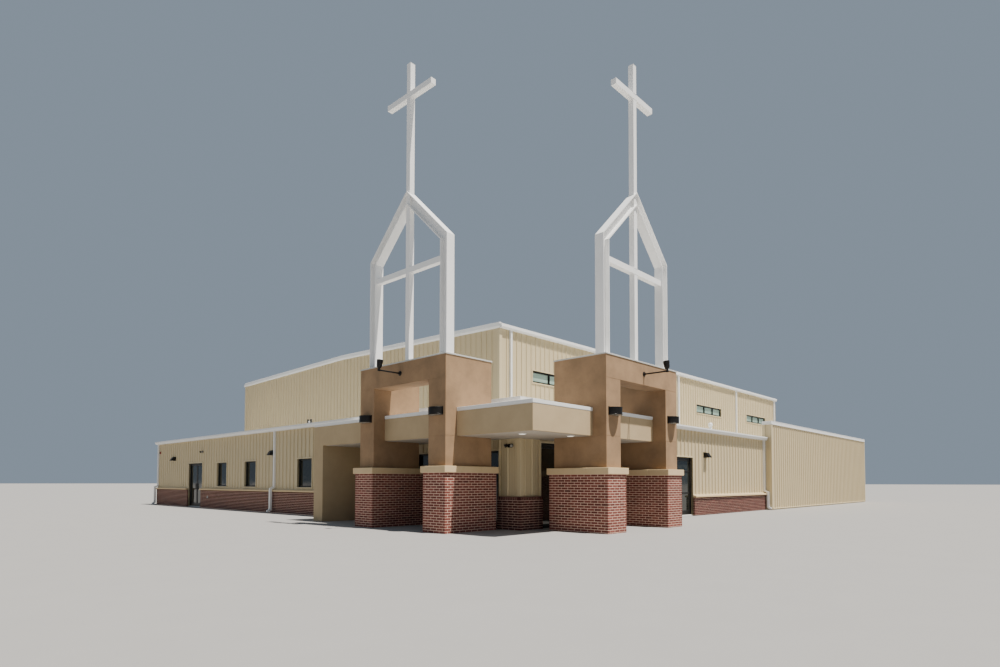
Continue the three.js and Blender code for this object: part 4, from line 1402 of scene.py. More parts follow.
@dataclass
class Masonry:
    """Running-bond brickwork: bevelled bricks over a recessed mortar core."""

    brick_long: float = 0.194
    brick_deep: float = 0.092
    # The bricks' mean tone. The wainscots are laid with a lower one, which is painted shade: the same bricks
    # as the towers, made darker.
    tone: float = 0.7
    joint: float = 0.012
    course: float = 0.0677
    recess: float = 0.004
    core_gap: float = 0.001
    wall_gap: float = 0.002
    sill_stone: float = 1.22
    unit: tuple[float, float, float] = (0.2, 0.1, 0.06)
    dice: random.Random = field(default_factory=partial(random.Random, 7))

    def courses(self, top: float) -> list[Span]:
        """Divides brickwork into courses.

        Args:
            top: Its height.

        Returns:
            Each course's foot and top, from the highest down to the ground.
        """
        made: list[Span] = []
        while top > 0.02:
            made.append((max(top - self.course + self.joint, 0.0), top))
            top -= self.course
        return made

    def lengths(self, start: float, end: float, half: bool) -> list[Span]:
        """Divides a course into bricks.

        Args:
            start: Where it starts.
            end: Where it ends.
            half: Whether it starts and ends with half bricks.

        Returns:
            Each brick's stretch.
        """
        if half:
            cut = self.brick_deep + self.joint
            inner = self.lengths(start + cut, end - cut, False)
            return [(start, start + self.brick_deep), *inner, (end - self.brick_deep, end)]
        count = max(1, round((end - start + self.joint) / (self.brick_long + self.joint)))
        step = (end - start + self.joint) / count
        return [(start + i * step, start + (i + 1) * step - self.joint) for i in range(count)]

    def brick(self, piece: Piece, face: Matrix, along: Span, up: Span, deep: float = 0.092) -> None:
        """Adds one brick with its own tone and a slightly uneven face.

        Args:
            piece: The piece that gets it.
            face: The frame of the face that it is laid in.
            along: Where it starts and ends along the face.
            up: Its foot and top.
            deep: How far it reaches into the wall.
        """
        x, y, z = self.unit
        proud = self.dice.uniform(-0.0015, 0.0)
        scale = Matrix.Diagonal(((along[1] - along[0]) / x, deep / y, (up[1] - up[0]) / z, 1))
        middle = Matrix.Translation((sum(along) / 2, proud - deep / 2, sum(up) / 2))
        tone = min(1.0, max(0.0, self.dice.gauss(self.tone, 0.13)))
        piece.add(block_form(x, y, z, EASED, 1), BRICK, face @ middle @ scale, tone)

    def lay(self, piece: Piece, faces: Sequence[tuple[Plane, float, bool]], top: float, closed: bool) -> None:
        """Lays brick along faces that meet at corners, where their courses cross.

        Args:
            piece: The piece that gets it.
            faces: Each face with its length, and whether its first course runs through to the corner.
            top: The height of the brickwork.
            closed: Whether each face has a corner at its end too.
        """
        for i, up in enumerate(self.courses(top)):
            for plane, length, first in faces:
                start = 0.0 if first == (i % 2 == 0) else self.brick_deep + self.joint
                for along in self.lengths(start, length - start if closed else length, False):
                    self.brick(piece, plane.matrix, along, up)

    def ring(self, piece: Piece, x: Span, y: Span, top: float) -> None:
        """Lays brick round a rectangle.

        Args:
            piece: The piece that gets it.
            x: Its outer limits in x.
            y: Its outer limits in y.
            top: The height of the brickwork.
        """
        long_x, long_y = x[1] - x[0], y[1] - y[0]
        faces = (
            (Plane((x[0], y[0], 0), (1, 0, 0), (0, -1, 0)), long_x, True),
            (Plane((x[1], y[1], 0), (-1, 0, 0), (0, 1, 0)), long_x, True),
            (Plane((x[0], y[1], 0), (0, -1, 0), (-1, 0, 0)), long_y, False),
            (Plane((x[1], y[0], 0), (0, 1, 0), (1, 0, 0)), long_y, False),
        )
        self.lay(piece, faces, top, True)
        core = [(low + self.recess, high - self.recess) for low, high in (x, y)]
        piece.add(block(*core, (0, top - self.core_gap), HAIR), MORTAR)

    def strip(self, piece: Piece, along: Span, top: float) -> None:
        """Lays a straight wainscot against a wall's face, with brick returns at both ends.

        Args:
            piece: The piece that gets it.
            along: Where it starts and ends along the wall.
            top: The height of the brickwork.
        """
        out = Matrix.Translation((0, BRICK_OUT, 0))
        for i, up in enumerate(self.courses(top)):
            for run in self.lengths(*along, i % 2 == 1):
                self.brick(piece, out, run, up, BRICK_OUT - self.wall_gap)
        r = self.recess
        core = block((along[0] + r, along[1] - r), (0.001, BRICK_OUT - r), (0, top - self.core_gap), HAIR)
        piece.add(core, MORTAR)

    def sill(self, piece: Piece, front: LowFront, along: Span) -> None:
        """Lays cast sill stones with a sloping top along a wainscot.

        Args:
            piece: The piece that gets them.
            front: The low front, for the heights.
            along: Where the sill starts and ends along the wall.
        """
        foot, top, out, gap = front.brick_top, front.sill_top, SILL_OUT, 0.003
        drip = ((out - 0.018, foot), (out - 0.012, foot + 0.008), (out, foot + 0.008))
        profile = ((0.0, foot), *drip, (out, top - 0.022), (0.04, top), (0.0, top))
        count = max(1, round((along[1] - along[0]) / self.sill_stone))
        step = (along[1] - along[0]) / count
        for i in range(count):
            ends = (along[0] + i * step + gap, along[0] + (i + 1) * step - gap)
            piece.add(prism(profile, Axis.X, ends, BEND), CAST_STONE)
        back = out - 0.02
        joint = ((0.002, foot), (back, foot), (back, top - 0.028), (0.002, top - 0.01))
        piece.add(prism(joint, Axis.X, (along[0] + 0.01, along[1] - 0.01)), MORTAR)

    def wainscots(self) -> None:
        """Models the five brick wainscots."""
        left_start, right_start = LEFT_STORE[1] + 0.03, RIGHT_STORE[1] + 0.03
        for name, plane, front, runs in (
            ("left_wainscot_near", LEFT, LEFT_LOW, ((left_start, PORTAL[0]), (PORTAL[1], LEFT_DOOR[0]))),
            ("left_wainscot_far", LEFT, LEFT_LOW, ((LEFT_DOOR[1], LENGTH_Y),)),
            ("right_wainscot_near", RIGHT, RIGHT_LOW, ((right_start, RIGHT_DOOR[0]),)),
            ("right_wainscot_far", RIGHT, RIGHT_LOW, ((RIGHT_DOOR[1], BLOCK_X),)),
        ):
            piece = Piece(name + "_brick", "brick", place=plane.matrix)
            for run in runs:
                self.strip(piece, run, front.brick_top)
                self.sill(piece, front, run)
            piece.finish(name)
        self.entry()

    def entry(self) -> None:
        """Models the entry corner's brick with a soldier course of bricks on edge on top."""
        piece = Piece("entry_wainscot_brick", "brick")
        edge, out, deep = 0.1, BRICK_OUT, BRICK_OUT - self.wall_gap
        x_run, y_run = RIGHT_STORE[0] + out, LEFT_STORE[0] + out
        front = Plane((-out, -out, 0), (1, 0, 0), (0, -1, 0))
        side = Plane((-out, -out, 0), (0, 1, 0), (-1, 0, 0))
        faces = ((front, x_run, True), (side, y_run, False))
        self.lay(piece, faces, ENTRY_BRICK_TOP - edge - self.joint, False)
        up = (ENTRY_BRICK_TOP - edge, ENTRY_BRICK_TOP)
        for plane, start, length in ((front, 0.0, x_run), (side, deep, y_run)):
            count = round((length - start) / self.course)
            step = (length - start) / count
            for i in range(count):
                along = (start + i * step, start + (i + 1) * step - self.joint)
                self.brick(piece, plane.matrix, along, up, deep)
        near, wall = self.recess - out, -0.001
        x_end, y_end = RIGHT_STORE[0] - self.recess, LEFT_STORE[0] - self.recess
        outline = ((near, near), (x_end, near), (x_end, wall), (wall, wall), (wall, y_end), (near, y_end))
        piece.add(prism(outline, Axis.Z, (0, ENTRY_BRICK_TOP - 0.006)), MORTAR)
        piece.finish("entry_wainscot")


# Towers


@dataclass
class Tower:
    """A stucco portal on two brick bases, with its coping, lights, spotlight and spire feet."""

    side: str
    matrix: Matrix
    places: tuple[str, str]
    masonry: Masonry
    base_brick_top: float
    cap_top: float
    header_deep: float = 0.62
    soffit: float = 4.01
    joint: float = 0.006
    joint_deep: float = 0.005
    joint_levels: tuple[float, float] = (2.51, 4.01)
    base_out: float = 0.1
    cap_out: float = 0.15
    coping: float = 0.018
    light_wide: float = 0.46
    light_deep: float = 0.23
    light_up: Span = (3.05, 3.25)
    spot_level: float = 4.32
    spot_reach: float = 0.79
    spot_tilt: float = 0.15
    spire_inset: float = 0.18
    spire_section: float = 0.27
    plate_wide: float = 0.035
    plate_thick: float = 0.022
    mast: float = 0.16
    ring_level: float = 7.27
    cross_level: float = 12.33
    cross_arm: float = 0.963

    @property
    def legs(self) -> tuple[float, float]:
        """Where the two legs start along the front."""
        return (0.0, TOWER_WIDTH - LEG)

    def stucco(self) -> None:
        """Models the portal in its stucco panels, with recessed control joints between them."""
        piece = Piece(self.side + "_tower_stucco", "stucco", place=self.matrix)
        half, r, deep = self.joint / 2, self.joint_deep, self.header_deep
        (low, high), middle, top = self.joint_levels, TOWER_WIDTH / 2, TOWER_TOP - 0.012
        inner_top = top - 0.005
        for start in self.legs:
            leg, inside = (start, start + LEG), (start + r, start + LEG - r)
            for up in ((self.cap_top, low - half), (low + half, high - half)):
                piece.add(block(leg, (0, TOWER_DEPTH), up, EASED, 2), STUCCO)
            piece.add(block(inside, (r, TOWER_DEPTH - r), (self.cap_top, inner_top), ARRIS), STUCCO)
            # The upper joint runs across the front only, so stucco fills it on the leg's other sides.
            gap, up = 0.0005, around(high, self.joint + 0.012)
            flush = (start + gap, start + LEG - gap)
            piece.add(block(flush, (0.02, TOWER_DEPTH - gap), up, gap), STUCCO)
        for sign in (1, -1):
            edge = middle - sign * middle
            inner, centre = edge + sign * LEG, middle - sign * half
            header = ((edge, 0), (centre, 0), (centre, deep), (inner, deep))
            outline = (*header, (inner, TOWER_DEPTH), (edge, TOWER_DEPTH))
            piece.add(prism(outline, Axis.Z, (high + half, top), EASED, 2), STUCCO)
        inside = (LEG - 0.1, TOWER_WIDTH - LEG + 0.1)
        piece.add(block(inside, (r, deep - r), (self.soffit + 0.004, inner_top), ARRIS), STUCCO)
        self.copings(piece)
        piece.finish(self.side + "_tower")

    def copings(self, piece: Piece) -> None:
        """Adds the coping and the thin sheet on it, which follow the portal's plan.

        Args:
            piece: The piece that gets them.
        """
        for e, up in (
            (self.coping, (TOWER_TOP - 0.032, TOWER_TOP)),
            (self.coping - 0.006, (TOWER_TOP - 0.001, TOWER_TOP + 0.004)),
        ):
            far, back, header = TOWER_WIDTH + e, TOWER_DEPTH + e, self.header_deep + e
            near_leg, far_leg = LEG + e, TOWER_WIDTH - LEG - e
            front = ((-e, -e), (far, -e), (far, back), (far_leg, back))
            outline = (*front, (far_leg, header), (near_leg, header), (near_leg, back), (-e, back))
            piece.add(prism(outline, Axis.Z, up, BEND), MEMBRANE)

    def base(self, start: float, place: str) -> None:
        """Models the brick base under one leg, with its cast cap.

        Args:
            start: Where the leg starts along the front.
            place: Whether it is the near or the far base.
        """
        node = self.side + "_base_" + place
        brick_top, cap_top = self.base_brick_top, self.cap_top
        (brick_x, brick_y), (x, y) = (
            ((start - out, start + LEG + out), (-out, TOWER_DEPTH + out))
            for out in (self.base_out, self.cap_out)
        )
        brick = Piece(node + "_brick", "brick", place=self.matrix)
        self.masonry.ring(brick, brick_x, brick_y, brick_top)
        brick.finish(node)
        stone = Piece(node + "_cap", "concrete", place=self.matrix)
        count, gap = 3, 0.003
        step = (y[1] - y[0]) / count
        for i in range(count):
            low = y[0] + i * step + (gap if i else 0)
            high = y[0] + (i + 1) * step - (gap if i < count - 1 else 0)
            stone.add(block(x, (low, high), (brick_top + 0.006, cap_top), 0.009, 2), CAST_STONE)
        inside = [(low + 0.012, high - 0.012) for low, high in (x, y)]
        stone.add(block(*inside, (brick_top - 0.002, cap_top - 0.012)), MORTAR)
        stone.finish(node)

    def light(self, start: float, place: str) -> None:
        """Models the half-round light on the front of one leg.

        Args:
            start: Where the leg starts along the front.
            place: Whether it is the near or the far light.
        """
        node = self.side + "_light_" + place
        piece = Piece(node + "_dressed", "dark_light", place=self.matrix)
        middle, (low, high) = start + LEG / 2, self.light_up
        angles = [math.pi * i / 18 for i in range(19)]
        for shrink, up, bevel, finish in (
            (0.004, (low + 0.014, high - 0.014), ARRIS, BRONZE),
            (0.0, (low, low + 0.02), EASED, BRONZE),
            (0.0, (high - 0.02, high), EASED, BRONZE),
            (0.03, (low - 0.004, low + 0.006), ARRIS, LENS),
            (0.03, (high - 0.006, high + 0.004), ARRIS, LENS),
        ):
            wide, deep = self.light_wide / 2 - shrink, self.light_deep - shrink
            outline = [(middle + wide * math.cos(a), -deep * math.sin(a)) for a in angles]
            piece.add(prism(outline, Axis.Z, up, bevel), finish)
        back = around(middle, self.light_wide + 0.03)
        piece.add(block(back, (-0.012, 0), (low - 0.01, high + 0.01), BEND), BRONZE)
        piece.finish(node, smooth=True)

    def spotlight(self) -> None:
        """Models the bullet spotlight that stands on its arm."""
        node = self.side + "_spotlight"
        piece = Piece(node + "_dressed", "dark_light", place=self.matrix)
        x, z, y = TOWER_WIDTH / 2, self.spot_level, 0.08 - self.spot_reach
        flange = turned(((0.068, 0), (0.068, 0.012), (0.058, 0.02), (0.034, 0.024), (0.03, 0.05)), 24)
        piece.add(aimed(flange, (x, 0, z), (0, -1, 0)), BRONZE)
        # The arm, the collar at its end, the stem and the knuckle
        for start, end, radius, sides in (
            ((x, -0.02, z), (x, y - 0.03, z), 0.021, 14),
            ((x, y - 0.035, z), (x, y + 0.035, z), 0.032, 14),
            ((x, y, z), (x, y, z + 0.05), 0.016, 12),
            ((x - 0.034, y, z + 0.045), (x + 0.034, y, z + 0.045), 0.02, 14),
        ):
            piece.add(rod(start, end, radius, sides), BRONZE)
        neck = ((0.024, 0), (0.052, 0.016), (0.066, 0.045), (0.07, 0.066), (0.074, 0.07))
        hood = ((0.08, 0.16), (0.086, 0.166), (0.086, 0.228), (0.078, 0.228), (0.075, 0.195))
        way, foot = (0, math.sin(self.spot_tilt), math.cos(self.spot_tilt)), (x, y, z + 0.05)
        piece.add(aimed(turned((*neck, *hood), 24), foot, way), BRONZE)
        piece.add(aimed(turned(((0.074, 0.192), (0.074, 0.198)), 20), foot, way), LENS)
        piece.finish(node, smooth=True)

    def spire(self) -> None:
        """Adds the spire's base plates, anchor bolts and end caps to the steel that stays."""
        paint(WHITE_STEEL, self.side + "_spire")
        piece = Piece(self.side + "_spire_fittings", "white_steel", place=self.matrix)
        wide, thick, bolt_in = self.plate_wide, self.plate_thick, 0.016
        y = (self.spire_inset, self.spire_inset + self.spire_section)
        deep, mid, mast = sum(y) / 2, TOWER_WIDTH / 2, self.mast
        bolt = turned(((0.018, 0), (0.018, 0.016), (0.011, 0.018), (0.011, 0.036), (0.007, 0.04)), 8)
        for x, rows in (
            (y, y),
            ((TOWER_WIDTH - y[1], TOWER_WIDTH - y[0]), y),
            (around(mid, mast), around(deep, mast)),
        ):
            plate = [(low - wide, high + wide) for low, high in (x, rows)]
            piece.add(block(*plate, (TOWER_TOP, TOWER_TOP + thick), EASED), WHITE_STEEL)
            for bx in (plate[0][0] + bolt_in, plate[0][1] - bolt_in):
                for by in (plate[1][0] + bolt_in, plate[1][1] - bolt_in):
                    piece.add(bolt.at(bx, by, TOWER_TOP + thick), WHITE_STEEL)
        end, arm = mast + 0.008, self.cross_arm
        piece.add(block(around(mid, end), around(deep, end), (13.238, 13.2495), BEND), WHITE_STEEL)
        for x in ((mid - arm - 0.016, mid - arm), (mid + arm, mid + arm + 0.016)):
            piece.add(block(x, around(deep, end), around(self.cross_level, end), BEND), WHITE_STEEL)
        collar = mast + 0.012
        for level in (self.ring_level, self.cross_level):
            for z in around(level, mast):
                sides = (around(mid, collar), around(deep, collar))
                piece.add(block(*sides, around(z, 0.01), ARRIS), WHITE_STEEL)
        piece.finish()

    def build(self) -> None:
        """Models the tower."""
        self.stucco()
        for start, place in zip(self.legs, self.places):
            self.base(start, place)
            self.light(start, place)
        self.spotlight()
        self.spire()


# Canopy


@dataclass
class Canopy:
    """The flat stucco canopy between the towers and the walls, with its cap, soffit and lights."""

    lip: float = 0.009
    lights: tuple[Point, ...] = ((-1.18, -1.11), (0.2, -1.56), (2.4, -1.0), (-0.9, 2.4), (-0.9, 5.9))
    joint_at: float = 2.45

    def outline(self, lip: float, end: float) -> list[Point]:
        """Returns the canopy's plan, notched round the tower legs.

        Args:
            lip: How far it stands out past the fascias.
            end: Where its left arm ends.

        Returns:
            The corners.
        """
        n0, n1 = TOWER_START, TOWER_START + LEG
        f0, f1 = TOWER_START + TOWER_WIDTH - LEG, TOWER_START + TOWER_WIDTH
        left, right = LEFT_FASCIA - lip, RIGHT_FASCIA - lip
        behind_left, behind_right = LEFT_TOWER_FRONT + TOWER_DEPTH, RIGHT_TOWER_FRONT + TOWER_DEPTH
        return [
            *((left, right), (n0, right), (n0, behind_right), (n1, behind_right), (n1, right)),
            *((f0, right), (f0, 0), (0, 0), (0, end), (left, end)),
            *((left, f1), (behind_left, f1), (behind_left, f0), (left, f0)),
            *((left, n1), (behind_left, n1), (behind_left, n0), (left, n0)),
        ]

    def build(self) -> None:
        """Models the cap, the soffit with its recessed lights, and the right fascia's control joint."""
        paint(PALE_STUCCO, "canopy_deck", "portal_wall")
        cap = Piece("canopy_cap_dressed", "white_trim")
        end, seam = PORTAL[1], CANOPY_FASCIA_TOP + 0.012
        # A narrow reveal under the cap gives the fascia's top its dark line.
        for lip, up, bevel in (
            (-0.01, (CANOPY_FASCIA_TOP, seam + 0.001), 0.0),
            (self.lip, (seam, CANOPY_TOP - 0.004), EASED),
        ):
            cap.add(prism(self.outline(lip, end + lip), Axis.Z, up, bevel), WHITE_TRIM)
        cap.finish("canopy_cap")
        soffit = Piece("canopy_soffit", "pale_stucco")
        under = (CANOPY_SOFFIT - 0.008, CANOPY_SOFFIT + 0.002)
        soffit.add(prism(self.outline(-0.09, PORTAL[0] - 0.03), Axis.Z, under, ARRIS), SOFFIT)
        ring = turned(((0.11, 0), (0.11, 0.008), (0.098, 0.016), (0.085, 0.016)), 28)
        glass = turned(((0.083, 0), (0.078, 0.012)), 28)
        down = (0, 0, -1)
        for x, y in self.lights:
            soffit.add(aimed(ring, (x, y, under[0] + 0.001), down), WHITE_TRIM)
            # The lenses' glow is painted brightness.
            soffit.add(aimed(glass, (x, y, under[0] - 0.006), down), PAINTED_GLOW_LENS)
        soffit.finish(smooth=True)
        front = Plane((0, RIGHT_FASCIA, 0), (1, 0, 0), (0, -1, 0))
        joints = Piece("canopy_control_joint", "pale_stucco", place=front.matrix)
        up = (CANOPY_SOFFIT, CANOPY_FASCIA_TOP)
        for side in (-0.009, 0.009):
            joints.add(block(around(self.joint_at + side, 0.008), (-0.002, 0.004), up, HAIR), PALE_STUCCO)
        joints.add(block(around(self.joint_at, 0.01), (-0.002, 0.001), up, 0.0003), GASKET)
        joints.finish()


# Windows and doors


# How far a door leaf stands clear at its sides, and how far out of the wall its back and face are
LEAF_GAP, LEAF_OUT = 0.008, (-0.11, -0.065)


def beads(piece: Piece, along: Span, up: Span, out: Span, width: float) -> None:
    """Adds the four glazing beads round a pane.

    Args:
        piece: The piece that gets them.
        along: The pane's limits along the wall.
        up: Its foot and head.
        out: The beads' back and face.
        width: The width of each.
    """
    (a0, a1), (z0, z1) = along, up
    for x in ((a0, a0 + width), (a1 - width, a1)):
        piece.add(block(x, out, up, ARRIS), GASKET)
    for z in ((z0, z0 + width), (z1 - width, z1)):
        piece.add(block(along, out, z, ARRIS), GASKET)


@dataclass
class Window:
    """A dark frame of bars with glazing beads and a sheet of glass, in a wall's frame.

    Its depth is how far its front and its back lie inside the wall's face, as the glass's middle does.
    """

    along: Span
    up: Span
    mullions: Sequence[float] = ()
    transoms: Sequence[float] = ()
    depth: Span = (0.05, 0.16)
    glass: float = 0.105
    wide: float = 0.05
    bead: float = 0.009

    def build(self, piece: Piece, finish: Finish) -> None:
        """Adds the bars, the beads and the glass.

        Args:
            piece: The piece that gets them.
            finish: The kind of glass.
        """
        half, (back, face) = self.wide / 2, (-self.depth[1], -self.depth[0])
        (a0, a1), (z0, z1) = self.along, self.up
        columns = [a0 + half, *self.mullions, a1 - half]
        rows = [z0 + half, *self.transoms, z1 - half]
        for middle in (columns[0], columns[-1], *self.mullions):
            piece.add(block(around(middle, self.wide), (back, face), self.up, BEND), BRONZE)
        across, inside = (a0 + 0.004, a1 - 0.004), (back + 0.002, face - 0.002)
        for middle in (rows[0], rows[-1], *self.transoms):
            piece.add(block(across, inside, around(middle, self.wide), BEND), BRONZE)
        out = (0.012 - self.glass, 0.022 - self.glass)
        for (c0, c1), (r0, r1) in product(pairwise(columns), pairwise(rows)):
            beads(piece, (c0 + half, c1 - half), (r0 + half, r1 - half), out, self.bead)
        x, z = ((low + 0.02, high - 0.02) for low, high in (self.along, self.up))
        piece.add(block(x, around(-self.glass, 0.024), z, ARRIS), finish)


@dataclass
class Hinges:
    """One half of each hinge of a door leaf: a knuckle on the hinges' axis, and a plate to one side of it."""

    axis: float
    way: int
    lift: float
    back: float
    out: float = -0.038
    knuckle: float = 0.05
    levels: tuple[float, ...] = (0.3, 1.14, 1.98)

    def build(self, piece: Piece) -> None:
        """Adds the knuckles and the plates.

        Args:
            piece: The piece that gets them.
        """
        near, far = sorted((self.axis + self.way * 0.004, self.axis + self.way * 0.014))
        for level in self.levels:
            foot, top = level + self.lift, level + self.lift + self.knuckle
            piece.add(rod((self.axis, self.out, foot), (self.axis, self.out, top), 0.009), BRONZE)
            piece.add(block((near, far), (self.back, -0.034), (foot, top), HAIR), BRONZE)


@dataclass
class DoorFrame:
    """A door's frame, stops, threshold and the fixed halves of its hinges.

    Each hinge is its axis along the wall, and the direction from there into the leaf.
    """

    node: str
    plane: Plane
    along: Span
    hinges: Sequence[tuple[float, int]]
    bar: float = 0.05
    depth: Span = (0.05, 0.16)
    head_rail: float = 0.06
    sill: float = 0.052
    stop: float = 0.015

    def build(self) -> None:
        """Models the frame."""
        piece = Piece(self.node + "_dressed", "dark_aluminium", place=self.plane.matrix)
        (a0, a1), (outer, inner) = self.along, self.depth
        i0, i1, head = a0 + self.bar, a1 - self.bar, DOOR_HEAD - self.head_rail
        sill, out = self.sill, (-inner, -outer)
        for jamb in ((a0, i0), (i1, a1)):
            piece.add(block(jamb, out, (0, DOOR_HEAD), BEND), BRONZE)
        piece.add(block((a0 + 0.01, a1 - 0.01), out, (head, DOOR_HEAD), BEND), BRONZE)
        back = (-inner + 0.005, LEAF_OUT[0] - 0.006)
        for x, z in (
            ((i0, i0 + self.stop), (sill, head)),
            ((i1 - self.stop, i1), (sill, head)),
            ((i0, i1), (head - self.stop, head)),
        ):
            piece.add(block(x, back, z, ARRIS), GASKET)
        profile = ((-inner, 0.0), (-0.005, 0.0), (-0.005, 0.03), (-outer, sill), (-inner, sill))
        piece.add(prism(profile, Axis.X, self.along, ARRIS), CONCRETE)
        for axis, way in self.hinges:
            Hinges(axis, -way, 0.0, -0.054).build(piece)
        piece.finish(self.node, smooth=True)


@dataclass
class Leaf:
    """A glazed door leaf that swings with its hinges.

    Its edge is the hinged one, and its way is the direction from there to the free one.
    """

    node: str
    body: str
    plane: Plane
    edge: float
    way: int
    width: float
    rails: Sequence[float] = ()
    up: Span = (0.06, 2.22)
    stile: float = 0.07
    rail: float = 0.05
    bottom_rail: float = 0.16
    bead: float = 0.008

    def build(self) -> None:
        """Models the leaf, with its handles and its halves of the hinges."""
        piece = Piece(self.node + "_dressed", "dark_aluminium", self.body, self.plane.matrix)
        a0, a1 = sorted((self.edge, self.edge + self.way * self.width))
        out, stile, (foot, top) = LEAF_OUT, self.stile, self.up
        bottom, crossing = (foot, foot + self.bottom_rail), [around(z, self.rail) for z in self.rails]
        for bar in ((a0, a0 + stile), (a1 - stile, a1)):
            piece.add(block(bar, out, self.up, BEND), BRONZE)
        across, inside = (a0 + 0.02, a1 - 0.02), (out[0] + 0.001, out[1] - 0.001)
        for bar in (bottom, (top - stile, top), *crossing):
            piece.add(block(across, inside, bar, BEND), BRONZE)
        heights = [bottom[1], *chain(*crossing), top - stile]
        for up in zip(heights[::2], heights[1::2]):
            beads(piece, (a0 + stile, a1 - stile), up, (-0.08, -0.072), self.bead)
        x, z = ((low + 0.04, high - 0.04) for low, high in ((a0, a1), self.up))
        piece.add(block(x, around(sum(out) / 2, 0.012), z, HAIR), DARK_GLASS)
        self.pull(piece, self.edge + self.way * (self.width - stile / 2))
        self.push_bar(piece, around((a0 + a1) / 2, self.width - 0.1))
        Hinges(self.edge - self.way * LEAF_GAP / 2, self.way, 0.0505, -0.069).build(piece)
        piece.finish(self.node, smooth=True)

    def pull(self, piece: Piece, x: float) -> None:
        """Adds the pull handle on its two posts, and the lock's cylinder under it.

        Args:
            piece: The leaf.
            x: Their place along the wall.
        """
        grip, root = LEAF_OUT[1] + 0.048, LEAF_OUT[1] - 0.001
        for start, end, radius in (
            ((x, grip, 0.93), (x, grip, 1.23), 0.011),
            ((x, root, 0.96), (x, grip, 0.96), 0.008),
            ((x, root, 1.2), (x, grip, 1.2), 0.008),
        ):
            piece.add(rod(start, end, radius), BRONZE)
        cylinder = turned(((0.02, 0), (0.02, 0.006), (0.014, 0.009)), 18)
        piece.add(aimed(cylinder, (x, root, 0.86), (0, 1, 0)), BRONZE)

    def push_bar(self, piece: Piece, along: Span) -> None:
        """Adds the push bar across the inside, on its two end blocks.

        Args:
            piece: The leaf.
            along: Where the bar starts and ends along the wall.
        """
        piece.add(block(along, (-0.15, -0.125), (0.98, 1.04), 0.006, 2), BRONZE)
        for x in along:
            piece.add(block(around(x, 0.05), (-0.13, -0.108), (0.97, 1.05), EASED), BRONZE)


@dataclass
class Glazing:
    """Fixed windows, storefronts and clerestories in dark frames, and the hinged glazed doors."""

    high_bar: float = 0.065
    high_depth: Span = (0.012, 0.13)
    high_glass: float = 0.09
    door_bar: float = 0.05
    lock_gap: float = 0.012

    def fixed(self, node: str, plane: Plane, window: Window) -> None:
        """Models a fixed window or storefront in place of its plain node.

        Args:
            node: The node.
            plane: The wall.
            window: The window.
        """
        piece = Piece(node + "_dressed", "dark_aluminium", place=plane.matrix)
        window.build(piece, DARK_GLASS)
        foot, (start, end) = window.up[0], window.along
        if foot:
            # A window has a sloping drip flashing under it, and a storefront stands on the floor.
            drops = ((-0.05, 0.002), (0.05, 0.012), (0.05, 0.03), (-0.05, 0.004))
            profile = [(out, foot - drop) for out, drop in drops]
            piece.add(prism(profile, Axis.X, (start - 0.02, end + 0.02)), PANEL_TRIM)
        piece.finish(node)

    def clerestory(self, name: str, plane: Plane) -> None:
        """Models the hall's four high windows on one side: dark frames round three panes each, whose pale
        colour is a painted reflection of the sky.

        Args:
            name: The side.
            plane: The wall.
        """
        piece = Piece("hall_windows_" + name, "window_glass", place=plane.matrix)
        third = HALL_WINDOW_WIDTH / 3
        for along in HALL_WINDOWS:
            mullions = (along[0] + third, along[1] - third)
            look = (self.high_depth, self.high_glass, self.high_bar)
            Window(along, HALL_WINDOW_UP, mullions, (), *look).build(piece, PAINTED_SKY_GLASS)
        piece.finish("hall_glass_" + name)

    def doors(self) -> None:
        """Models the doors."""
        gap, half = LEAF_GAP, LEAF_GAP / 2
        bar = self.door_bar
        (l0, l1), (r0, r1) = ((low + bar, high - bar) for low, high in (LEFT_DOOR, RIGHT_DOOR))
        width = (l1 - l0 - 2 * gap - self.lock_gap) / 2
        for part in (
            DoorFrame("left_door_frame", LEFT, LEFT_DOOR, ((l0 + half, 1), (l1 - half, -1))),
            DoorFrame("right_door_frame", RIGHT, RIGHT_DOOR, ((r1 - half, -1),)),
            Leaf("left_door_leaf_near", "left_near_leaf", LEFT, l0 + gap, 1, width),
            Leaf("left_door_leaf_far", "left_far_leaf", LEFT, l1 - gap, -1, width),
            Leaf("right_door_leaf", "right_leaf", RIGHT, r1 - gap, -1, r1 - r0 - 2 * gap, (0.9, 1.74)),
        ):
            part.build()

    def build(self) -> None:
        """Models every window and door."""
        for place, along in LEFT_WINDOWS.items():
            self.fixed("left_window_" + place, LEFT, Window(along, WINDOW_UP))
        left = Window(LEFT_STORE, (0, LEFT_STORE_HEAD), (1.68, 2.575, 3.47))
        right = Window(RIGHT_STORE, (0, RIGHT_STORE_HEAD), (1.7, 2.535, 3.37), (2.315,))
        self.fixed("left_storefront", LEFT, left)
        self.fixed("right_storefront", RIGHT, right)
        self.clerestory("front", HALL_FRONT)
        self.clerestory("back", BACK)
        self.doors()


# Small fittings


